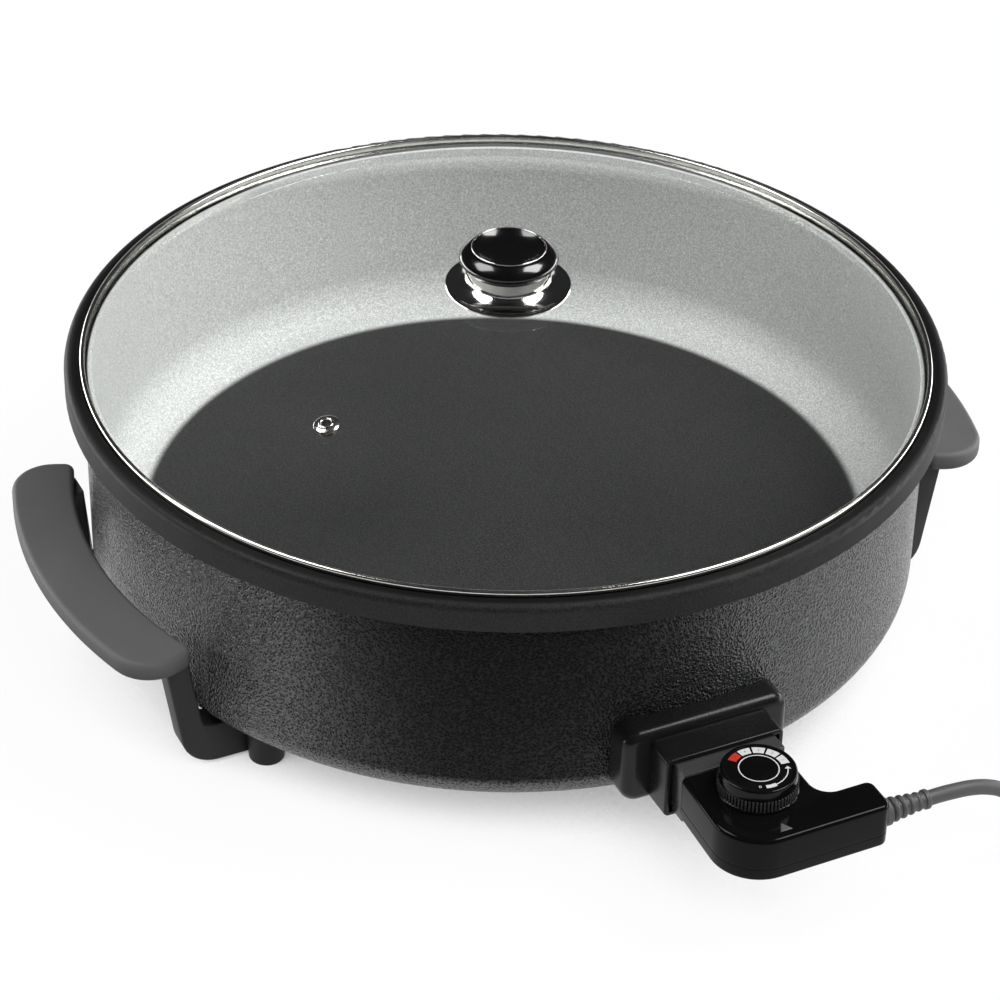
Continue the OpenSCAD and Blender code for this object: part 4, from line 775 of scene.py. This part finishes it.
class PIZZA_OT_case(bpy.types.Operator):
    """Controller case: two hollow halves that meet at a seam, and the pilot lens"""

    bl_idname = "pizza_pan.case"
    bl_label = "Controller case"

    def execute(self, context):
        path = [(x * MM, y * MM) for x, y in CASE_PATH]
        radii = [r * MM for r in CASE_RADII]
        floor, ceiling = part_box("case_bottom")[0].z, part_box("case_top")[1].z
        seam, wall, lip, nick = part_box("case_top")[0].z, 2 * MM, 0.3 * MM, 0.09 * MM
        upper = [(wall, ceiling - wall), (wall, seam), (lip, seam), (nick, seam + nick), (0, seam + lip),
                 *edge_layers(seam + 2 * lip, ceiling, 0, 2.2 * MM, 8), (2.8 * MM, ceiling)]
        lower = [(2.2 * MM, floor), *edge_layers(floor, seam - 2 * lip, 1.5 * MM, 0, 8), (0, seam - lip),
                 (nick, seam - nick), (lip, seam), (wall, seam), (wall, floor + wall)]
        for node, layers in (("case_top", upper), ("case_bottom", lower)):
            bm = bmesh.new()
            skin(bm, [[(p.x, p.y, z) for p in round_path(path, radii, inset, 14)] for inset, z in layers])
            piece = solid(node + "_moulding", bm, "gloss", recalc=False)
            stand_for(piece, "controller", "case_plastic", node)
        lens = softened("pilot_lens", "pilot_lens_cap", "lens", 0.25 * MM)
        stand_for(lens, "controller", "lens", "pilot_lens")
        nose = softened("controller_nose", "nose_moulding", "nose", 0.5 * MM)
        stand_for(nose, "controller", "nose_plastic", "controller_nose")
        return {"FINISHED"}


class PIZZA_OT_dial(bpy.types.Operator):
    """Dial with a toothed skirt, printed marks and plain numbers"""

    bl_idname = "pizza_pan.dial"
    bl_label = "Dial"

    def execute(self, context):
        sizes = context.scene.pizza_controller
        low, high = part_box("dial")
        middle = (0.0, -sizes.dial_forward)
        r, z0, z1 = sizes.dial_radius, low.z, high.z
        face = z1 - 0.3 * MM
        foot = [(0, 0), (17.6, 0), (18.05, 0.1), (18.2, 0.35), (18.1, 0.65), (17.7, 0.85), (17.5, 1.0), (17.25, 5.6),
                (17.2, 6.0)]
        edge = [(-0.15, 1.2), (0, 0.6), (0.3, 0.15), (0.8, 0), (1.3, 0.02), (1.7, 0.3), (2.2, 0.3)]
        profile = [(x * MM, z0 + up * MM) for x, up in foot]
        profile += [(r - x * MM, z1 - drop * MM) for x, drop in edge]
        dial = turned("dial_moulding", [*profile, (0, face)], 160, "dial", 45, middle)
        stand_for(dial, "dial", "case_plastic", "dial")

        knurl = Tree("knurled_skirt", Teeth=sizes.dial_teeth, Radius=17.4 * MM, Height=5.0 * MM,
                     Tooth_Radius=0.48 * MM, Place=(middle[0], middle[1], z0 + 3.3 * MM), Material=finish_of("nose"))
        ring = knurl.node("GeometryNodeMeshCircle", None, {
            "Vertices": knurl.take("Teeth"), "Radius": knurl.take("Radius")})
        tooth = knurl.node("GeometryNodeMeshCylinder", None, {
            "Vertices": 8, "Radius": knurl.take("Tooth_Radius"), "Depth": knurl.take("Height")})
        teeth = knurl.node("GeometryNodeInstanceOnPoints", None, {"Points": ring, "Instance": tooth})
        placed = knurl.node("GeometryNodeTransform", None, {0: teeth, "Translation": knurl.take("Place")})
        stand_for(knurl.grow("dial_teeth", placed), "dial", "case_plastic")

        turn = -26.0
        fields, half, red, inner, outer = (30, 59, 88, 117), 12.4, 146, 10.4, 14.2
        self.band("dial_marks", "white", middle, face, [
            (8.55, 9.05, 0, 360), *((inner, outer, a - half, a + half) for a in reversed(fields)),
            (12.35, 12.85, -56, 2), (11.6, 13.6, -78, -56)], turn, arrow=(12.6, 9, 1.5))
        self.band("dial_red_mark", "red", middle, face, [(inner, outer, red - half, red + half)], turn)
        bm = bmesh.new()
        for number, angle in enumerate((*fields, red), 1):
            self.digit(bm, str(number), 2.0 * MM, middle, face + 0.09 * MM, angle + turn, 12.3 * MM)
        stand_for(solid("dial_numbers", bm, "ink", recalc=False), "dial", "case_plastic")
        bm = bmesh.new()
        self.digit(bm, "0", 2.4 * MM, middle, face + 0.06 * MM, -90 + turn, 12.4 * MM)
        stand_for(solid("dial_zero", bm, "white", recalc=False), "dial", "case_plastic")
        return {"FINISHED"}

    def band(self, name, finish, middle, z, spans, turn, arrow=None):
        """Printed ring sectors: inner and outer radius in mm, start and end in degrees."""
        bm = bmesh.new()
        top = z + 0.06 * MM
        for inner, outer, start, end in spans:
            whole = end - start >= 360
            count = max(3, round((end - start) / 3))
            rows = []
            for k in range(count if whole else count + 1):
                a = math.radians(start + (end - start) * k / count + turn)
                c, s = math.cos(a), math.sin(a)
                rows.append([bm.verts.new((middle[0] + r * MM * c, middle[1] + r * MM * s, h))
                             for r, h in ((inner, z), (inner, top), (outer, top), (outer, z))])
            for k in range(count):
                here, after = rows[k], rows[(k + 1) % len(rows)]
                for i in range(4):
                    j = (i + 1) % 4
                    bm.faces.new((here[i], here[j], after[j], after[i]))
            if not whole:
                bm.faces.new(rows[0])
                bm.faces.new(reversed(rows[-1]))
        if arrow:
            radius, angle, half = arrow
            corners = []
            for r, a in ((radius, angle), (radius - half, 1.5), (radius + half, 1.5)):
                a = math.radians(a + turn)
                corners.append((middle[0] + r * MM * math.cos(a), middle[1] + r * MM * math.sin(a)))
            skin(bm, [[(*p, z) for p in corners], [(*p, top) for p in corners]])
        stand_for(solid(name, bm, finish), "dial", "case_plastic")

    def digit(self, bm, text, size, middle, z, angle, radius):
        """One plain digit, lying on the dial with its foot towards the middle."""
        curve = bpy.data.curves.new("digit", "FONT")
        curve.body, curve.size, curve.align_x, curve.align_y = text, size, "CENTER", "CENTER"
        holder = bpy.data.objects.new("digit", curve)
        bpy.context.scene.collection.objects.link(holder)
        bpy.context.view_layer.update()
        mesh = bpy.data.meshes.new_from_object(holder.evaluated_get(bpy.context.evaluated_depsgraph_get()))
        bpy.data.objects.remove(holder)
        bpy.data.curves.remove(curve)
        a = math.radians(angle)
        mesh.transform(Matrix.Translation((middle[0] + radius * math.cos(a), middle[1] + radius * math.sin(a), z))
                       @ Matrix.Rotation(a - math.pi / 2, 4, "Z"))
        bm.from_mesh(mesh)
        bpy.data.meshes.remove(mesh)


class PIZZA_OT_knob(bpy.types.Operator):
    """Lid knob with a dished top, on a pressed steel skirt"""

    bl_idname = "pizza_pan.knob"
    bl_label = "Knob"

    def execute(self, context):
        sizes = context.scene.pizza_lid
        low, high = (corner.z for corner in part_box("knob"))
        r, dish = sizes.knob_radius, sizes.dish_radius
        shoulder = [(19, 10), (20.2, 9.6), (21.5, 8.9), (22.6, 7.9), (23.3, 6.9), (23.5, 6.0), (23.35, 5.2),
                    (22.85, 4.3), (21.95, 3.3), (20.65, 2.25), (19.2, 1.25), (18.2, 0.7)]
        widest = 23.5
        profile = [(0, low), *((r * x / widest, high - drop * MM) for x, drop in shoulder)]
        profile.append((dish + 0.45 * MM, high - 0.55 * MM))
        sink, steps, steepest, flat_part = 0.4 * MM, 24, 36, 0.25
        for k in range(steps):
            at = 1 - k / steps
            slope = steepest * max(0, (at - flat_part) / (1 - flat_part)) ** 1.7
            profile.append((dish * at, high - sink))
            sink += dish / steps * math.tan(math.radians(slope))
        profile.append((0, high - sink))
        stand_for(turned("knob_moulding", profile, 144, "knob", 50), "lid", "case_plastic", "knob")
        wire = arc(dish + 0.45 * MM, high - 0.42 * MM, 0.4 * MM, 0, 360, 16)[:-1]
        stand_for(turned("knob_ring", wire, 144, "chrome", 60), "lid", "polished_steel")

        base, top = (corner.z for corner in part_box("knob_skirt"))
        s, c, t = sizes.skirt_radius, sizes.collar_radius, 0.8 * MM
        flare, wide, steps = [], s - 2.0 * MM - c, 12
        rise, shallow, steeper = 1.2 * MM, 9, 30
        for k in range(steps + 1):
            flare.append((c + wide * (1 - k / steps), base + rise))
            rise += wide / steps * math.tan(math.radians(shallow + steeper * (k + 0.5) / steps))
        rolled = [(1.5, 1.35), (1.0, 1.4), (0.45, 1.2), (0.1, 0.75), (0, 0.4), (0.15, 0)]
        outside = [(c - 0.5 * MM, top), (c - 0.2 * MM, top - 0.25 * MM), (c, flare[-1][1] + 0.3 * MM),
                   *reversed(flare), *((s - x * MM, base + up * MM) for x, up in rolled)]
        inside = [(s - t, base), (s - 2.2 * MM, base + 0.5 * MM), (c + 4.6 * MM, base + 1.0 * MM),
                  (c + 1.6 * MM, base + 1.9 * MM), (c - t + 0.1 * MM, base + 4.6 * MM), (c - t - 0.4 * MM, top - t)]
        hole = 2.1 * MM
        skirt = turned("skirt_pressing", [(hole, top), *outside, *inside, (hole, top - t)], 160, "chrome", 30)
        stand_for(skirt, "lid", "polished_steel", "knob_skirt")
        return {"FINISHED"}


class PIZZA_OT_lid_trim(bpy.types.Operator):
    """Steel band round the glass and the steam vent"""

    bl_idname = "pizza_pan.lid_trim"
    bl_label = "Lid trim"

    def execute(self, context):
        low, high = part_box("lid_band")
        r, z0, z1 = high.x, low.z, high.z
        middle, outer, inner = r - 1.25 * MM, 1.25 * MM, 0.7 * MM
        bead = arc(middle, z1 - outer, outer, 150, 0, 14) + arc(middle, z0 + outer, outer, 0, -150, 14)
        bead += arc(middle, z0 + outer, inner, -150, 0, 10) + arc(middle, z1 - outer, inner, 0, 150, 10)
        stand_for(turned("band_pressing", bead, 320, "band", 50), "lid", "polished_steel", "lid_band")
        ring, turn, dome, dome_top = 130 * MM, math.radians(206), 619.3 * MM, 173.7 * MM
        tilt = math.asin(ring / dome)
        crown = dome_top - dome * (1 - math.cos(tilt))
        place = (Matrix.Translation((ring * math.cos(turn), ring * math.sin(turn), crown))
                 @ Matrix.Rotation(turn, 4, "Z") @ Matrix.Rotation(tilt, 4, "Y"))
        eyelet = [(2.3, 0.02), (2.3, 0.9), (2.5, 1.25), (2.85, 1.4), (3.25, 1.35), (3.5, 1.1), (3.65, 0.9),
                  (4.1, 0.95), (4.6, 0.8), (5.5, 0.4), (5.9, 0.2), (6.0, 0.1), (5.9, 0.02)]
        liner = [(2.15, -4.6), (2.15, 0.9), (2.3, 0.9), (2.3, 0.0), (3.3, -0.05), (3.3, -3.65), (3.9, -3.7),
                 (4.0, -4.1), (3.6, -4.6)]
        for name, profile, steps, finish, nodes in (
                ("vent_eyelet", eyelet, 56, "band", ["steam_vent"]), ("vent_liner", liner, 40, "sheath", [])):
            piece = turned(name, [(r * MM, z * MM) for r, z in profile], steps, finish, 50, place=place)
            stand_for(piece, "lid", "polished_steel", *nodes)
        return {"FINISHED"}


class PIZZA_OT_relief(bpy.types.Operator):
    """Strain relief: a tapered sleeve with thick ribs"""

    bl_idname = "pizza_pan.relief"
    bl_label = "Strain relief"

    def execute(self, context):
        y, z, start, end = -281.75 * MM, 49.95 * MM, 48.6 * MM, 72.5 * MM
        collar = [(0, -2), (4.6, -2), (4.6, 0), (6.1, 0), (6.4, 0.3), (6.4, 3.2), (6.0, 3.7), (4.4, 4.2)]
        tip = [(3.8, 2.4), (4.5, 2.1), (4.6, 0.5), (4.3, 0), (0, 0)]
        profile = [(r * MM, start + along * MM) for r, along in collar]
        profile += [(r * MM, end - back * MM) for r, back in tip]
        place = Matrix.Translation((0, y, z)) @ Matrix.Rotation(math.pi / 2, 4, "Y")
        sleeve = turned("relief_sleeve", profile, 48, "lead", place=place)
        stand_for(sleeve, "controller", "lead_rubber", "strain_relief")
        ribs = Tree("relief_ribs", Ribs=4, Step=(4.0 * MM, 0.0, 0.0), First=(start + 6.4 * MM, y, z),
                    Rib_Radius=4.3 * MM, Rib_Thickness=1.45 * MM, Taper=-0.075, Material=finish_of("lead"))
        line = ribs.node("GeometryNodeMeshLine", None, {
            "Count": ribs.take("Ribs"), "Start Location": ribs.take("First"), "Offset": ribs.take("Step")})
        hoop, cross = (ribs.node("GeometryNodeCurvePrimitiveCircle", None, {
            "Resolution": fine, "Radius": ribs.take(key)}) for fine, key in ((40, "Rib_Radius"), (12, "Rib_Thickness")))
        rib = ribs.node("GeometryNodeCurveToMesh", None, {"Curve": hoop, "Profile Curve": cross})
        upright = ribs.node("GeometryNodeTransform", None, {0: rib, "Rotation": (0.0, math.pi / 2, 0.0)})
        index = ribs.node("GeometryNodeInputIndex")
        shrink = ribs.node("ShaderNodeMath", {"operation": "MULTIPLY_ADD"}, {0: index, 1: ribs.take("Taper"), 2: 1.0})
        hoops = ribs.node("GeometryNodeInstanceOnPoints", None, {"Points": line, "Instance": upright, "Scale": shrink})
        stand_for(ribs.grow("relief_rib_row", hoops), "controller", "lead_rubber")
        return {"FINISHED"}


class PIZZA_OT_screws(bpy.types.Operator):
    """Cross-headed screws under the feet, the shell and the controller"""

    bl_idname = "pizza_pan.screws"
    bl_label = "Screws"

    def execute(self, context):
        rows = {
            "handle_screws": ("pan", [(sx * 158.45, sy * 80, 6) for sx in (-1, 1) for sy in (-1, 1)], 4.0, 3.0, 2.0),
            "post_screws": ("pan", [(75 * math.cos(math.radians(a)), 75 * math.sin(math.radians(a)), 20.5)
                                    for a in (90, 210, 330)], 4.4, 2.5, 2.2),
            "case_screws": ("controller", [(x, y, 40.45) for x, y in ((-22.5, -248.5), (-20.5, -279), (30.5, -287.5))],
                            2.6, 2.0, 1.4),
        }
        for node, (body, places, head, tall, shank) in rows.items():
            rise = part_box(node)[1].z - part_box(node)[0].z
            tree = Tree(
                node + "_row", True, Head_Radius=head * MM, Head_Height=tall * MM, Head_Lift=(0.0, 0.0, tall * MM / 2),
                Slot=(head * 1.2 * MM, head * 0.28 * MM, tall * MM), Shank_Radius=shank * MM,
                Shank_Length=rise - tall * 0.6 * MM, Shank_Lift=(0.0, 0.0, rise / 2 + tall * 0.3 * MM),
                Material=finish_of("steel"))
            cap = tree.node("GeometryNodeMeshCylinder", None, {
                "Vertices": 40, "Side Segments": 2, "Radius": tree.take("Head_Radius"),
                "Depth": tree.take("Head_Height")})
            cap = tree.node("GeometryNodeTransform", None, {0: cap, "Translation": tree.take("Head_Lift")})
            slot = tree.node("GeometryNodeMeshCube", None, {"Size": tree.take("Slot")})
            cross = tree.node("GeometryNodeTransform", None, {0: slot, "Rotation": (0.0, 0.0, math.pi / 2)})
            cut = tree.node("GeometryNodeMeshBoolean", {"operation": "DIFFERENCE"}, {"Mesh 1": cap, "Mesh 2": slot})
            cut = tree.node("GeometryNodeMeshBoolean", {"operation": "DIFFERENCE"}, {"Mesh 1": cut, "Mesh 2": cross})
            stem = tree.node("GeometryNodeMeshCylinder", None, {
                "Vertices": 24, "Radius": tree.take("Shank_Radius"), "Depth": tree.take("Shank_Length")})
            stem = tree.node("GeometryNodeTransform", None, {0: stem, "Translation": tree.take("Shank_Lift")})
            screw = tree.tree.nodes.new("GeometryNodeJoinGeometry")
            for part in (cut, stem):
                tree.tree.links.new(part, screw.inputs[0])
            row = tree.node("GeometryNodeInstanceOnPoints", None, {
                "Points": tree.take("Geometry"), "Instance": screw.outputs[0]})
            piece = tree.grow(node + "_set", row, [Vector(p) * MM for p in places])
            stand_for(piece, body, "steel", node)
        return {"FINISHED"}


class PIZZA_OT_finishes(bpy.types.Operator):
    """Procedural finishes on the CAD nodes that stay"""

    bl_idname = "pizza_pan.finishes"
    bl_label = "Finishes"

    def execute(self, context):
        for part in frame["record"]["subparts"]:
            mesh = frame["nodes"][part["node"]].data
            mesh.materials.clear()
            mesh.materials.append(finish_of(SLOT_FINISH[part["material_slot"]]))
        return {"FINISHED"}


# Name, degrees beside the camera, elevation, distance, width, height, watts, and whether it shows in reflections
LIGHTS = (
    ("left_top", -98, 57, 4.0, 1.6, 1.85, 72.0, True),
    ("right_top", 98, 57, 4.0, 1.6, 1.85, 105.0, True),
    ("front_fill", 28, 46, 2.2, 1.2, 0.9, 38.0, False),
    ("left_softbox", -98, 24, 0.95, 0.8, 0.7, 3.0, False),
    ("left_strip", -105, 4, 0.8, 1.1, 0.14, 4.0, True),
    ("right_softbox", 100, 28, 1.9, 1.9, 1.6, 26.0, False),
    ("right_strip", 108, 4, 1.0, 1.1, 0.14, 4.0, True),
)


class PIZZA_OT_stage(bpy.types.Operator):
    """Pale floor with a painted contact shadow, soft lights and world"""

    bl_idname = "pizza_pan.stage"
    bl_label = "Stage"

    def execute(self, context):
        scene = context.scene
        scene.view_settings.view_transform = "Standard"
        bm = bmesh.new()
        far = 8
        corners = [(-far, -far), (far, -far), (far, far), (-far, far)]
        skin(bm, [[(*corner, height) for corner in corners] for height in (-0.0002, -0.0001)])
        f = Finish("pale_floor")
        pale = f.surface(color=tinted(f, (0.6, 0.6, 0.6), f.noise(6.0), 0.99, 1.01), rough=0.9, specular=0.1)
        reach, shade, whiteness = 0.2, (0.1, 0.1, 0.1), 0.93
        # Painted shadow: the floor's glow turns dark grey where ambient occlusion finds the object near.
        near = f.node("AmbientOcclusion", {"samples": 6}, {"Distance": reach}, output="AO")
        painted_shadow_mask = f.span(near, 0.03, 0.26, 0.0, 1.0)
        glow = f.node("Emission", None, {
            "Color": f.ramp(painted_shadow_mask, (0.0, shade), (1.0, (1, 1, 1))), "Strength": 1.0})
        seen = f.rays("Camera", "Glossy", "Transmission")
        MADE["floor"] = f.done(f.node("MixShader", None, {0: seen * whiteness, 1: pale, 2: glow}))
        solid("floor", bm, "floor")
        scene.world = bpy.data.worlds.new("studio")
        f = Finish("studio", scene.world)
        split = f.node("SeparateXYZ", None, {"Vector": f.node("TexCoord", output="Generated")}, output="Z")
        low_sky = f.span(split, 0.0, 0.04, 1.0, 0.0, True)
        seen = f.rays("Camera", "Transmission")
        shine = f.rays("Glossy")
        white = seen.math("MAXIMUM", seen, shine * low_sky)
        grey = (0.42, 0.43, 0.44)
        lit, mirrored, bright = (f.node("Background", None, {"Color": color, "Strength": strength})
                                 for color, strength in ((grey, 0.2), (grey, 0.05), ((1, 1, 1), 1.0)))
        room = f.node("MixShader", None, {0: shine, 1: lit, 2: mirrored})
        f.done(f.node("MixShader", None, {0: white, 1: room, 2: bright}), "World")
        aim = Vector((0, 0, 0.1))
        for name, beside, up, away, wide, tall, power, reflects in LIGHTS:
            data = bpy.data.lights.new(name, "AREA")
            data.shape = "RECTANGLE"
            data.size, data.size_y, data.energy = wide, tall, power
            lamp = bpy.data.objects.new(name, data)
            ray = towards(beside + VIEW_AZIMUTH, up)
            lamp.location = aim + away * ray
            lamp.rotation_euler = (-ray).to_track_quat("-Z", "Y").to_euler()
            lamp.visible_glossy = lamp.visible_transmission = reflects
            lamp.visible_camera = False
            scene.collection.objects.link(lamp)
        return {"FINISHED"}


class PIZZA_PT_panel(bpy.types.Panel):
    """Lists the pieces and their sizes"""

    bl_idname = "PIZZA_PT_panel"
    bl_label = "Pizza pan"
    bl_space_type = "VIEW_3D"
    bl_region_type = "UI"
    bl_category = "Pizza pan"

    def draw(self, context):
        for operator in OPERATORS:
            self.layout.operator(operator.bl_idname)
        for group in GROUPS:
            settings = getattr(context.scene, group)
            for key in settings.__annotations__:
                self.layout.prop(settings, key)


GROUPS = {"pizza_pan": PanSizes, "pizza_lid": LidSizes, "pizza_controller": ControllerSizes,
          "pizza_finishes": Finishes}
OPERATORS = (PIZZA_OT_camera, PIZZA_OT_lead, PIZZA_OT_finishes, PIZZA_OT_handles, PIZZA_OT_socket, PIZZA_OT_case,
             PIZZA_OT_dial, PIZZA_OT_knob, PIZZA_OT_lid_trim, PIZZA_OT_relief, PIZZA_OT_screws, PIZZA_OT_stage)


def register():
    for cls in (*GROUPS.values(), *OPERATORS, PIZZA_PT_panel):
        bpy.utils.register_class(cls)
    for name, cls in GROUPS.items():
        setattr(bpy.types.Scene, name, bpy.props.PointerProperty(type=cls))


def unregister():
    for name in GROUPS:
        delattr(bpy.types.Scene, name)
    for cls in reversed((*GROUPS.values(), *OPERATORS, PIZZA_PT_panel)):
        bpy.utils.unregister_class(cls)


def main():
    """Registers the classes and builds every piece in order."""
    register()
    for operator in OPERATORS:
        group, name = operator.bl_idname.split(".")
        getattr(getattr(bpy.ops, group), name)()


if __name__ == "__main__":
    main()
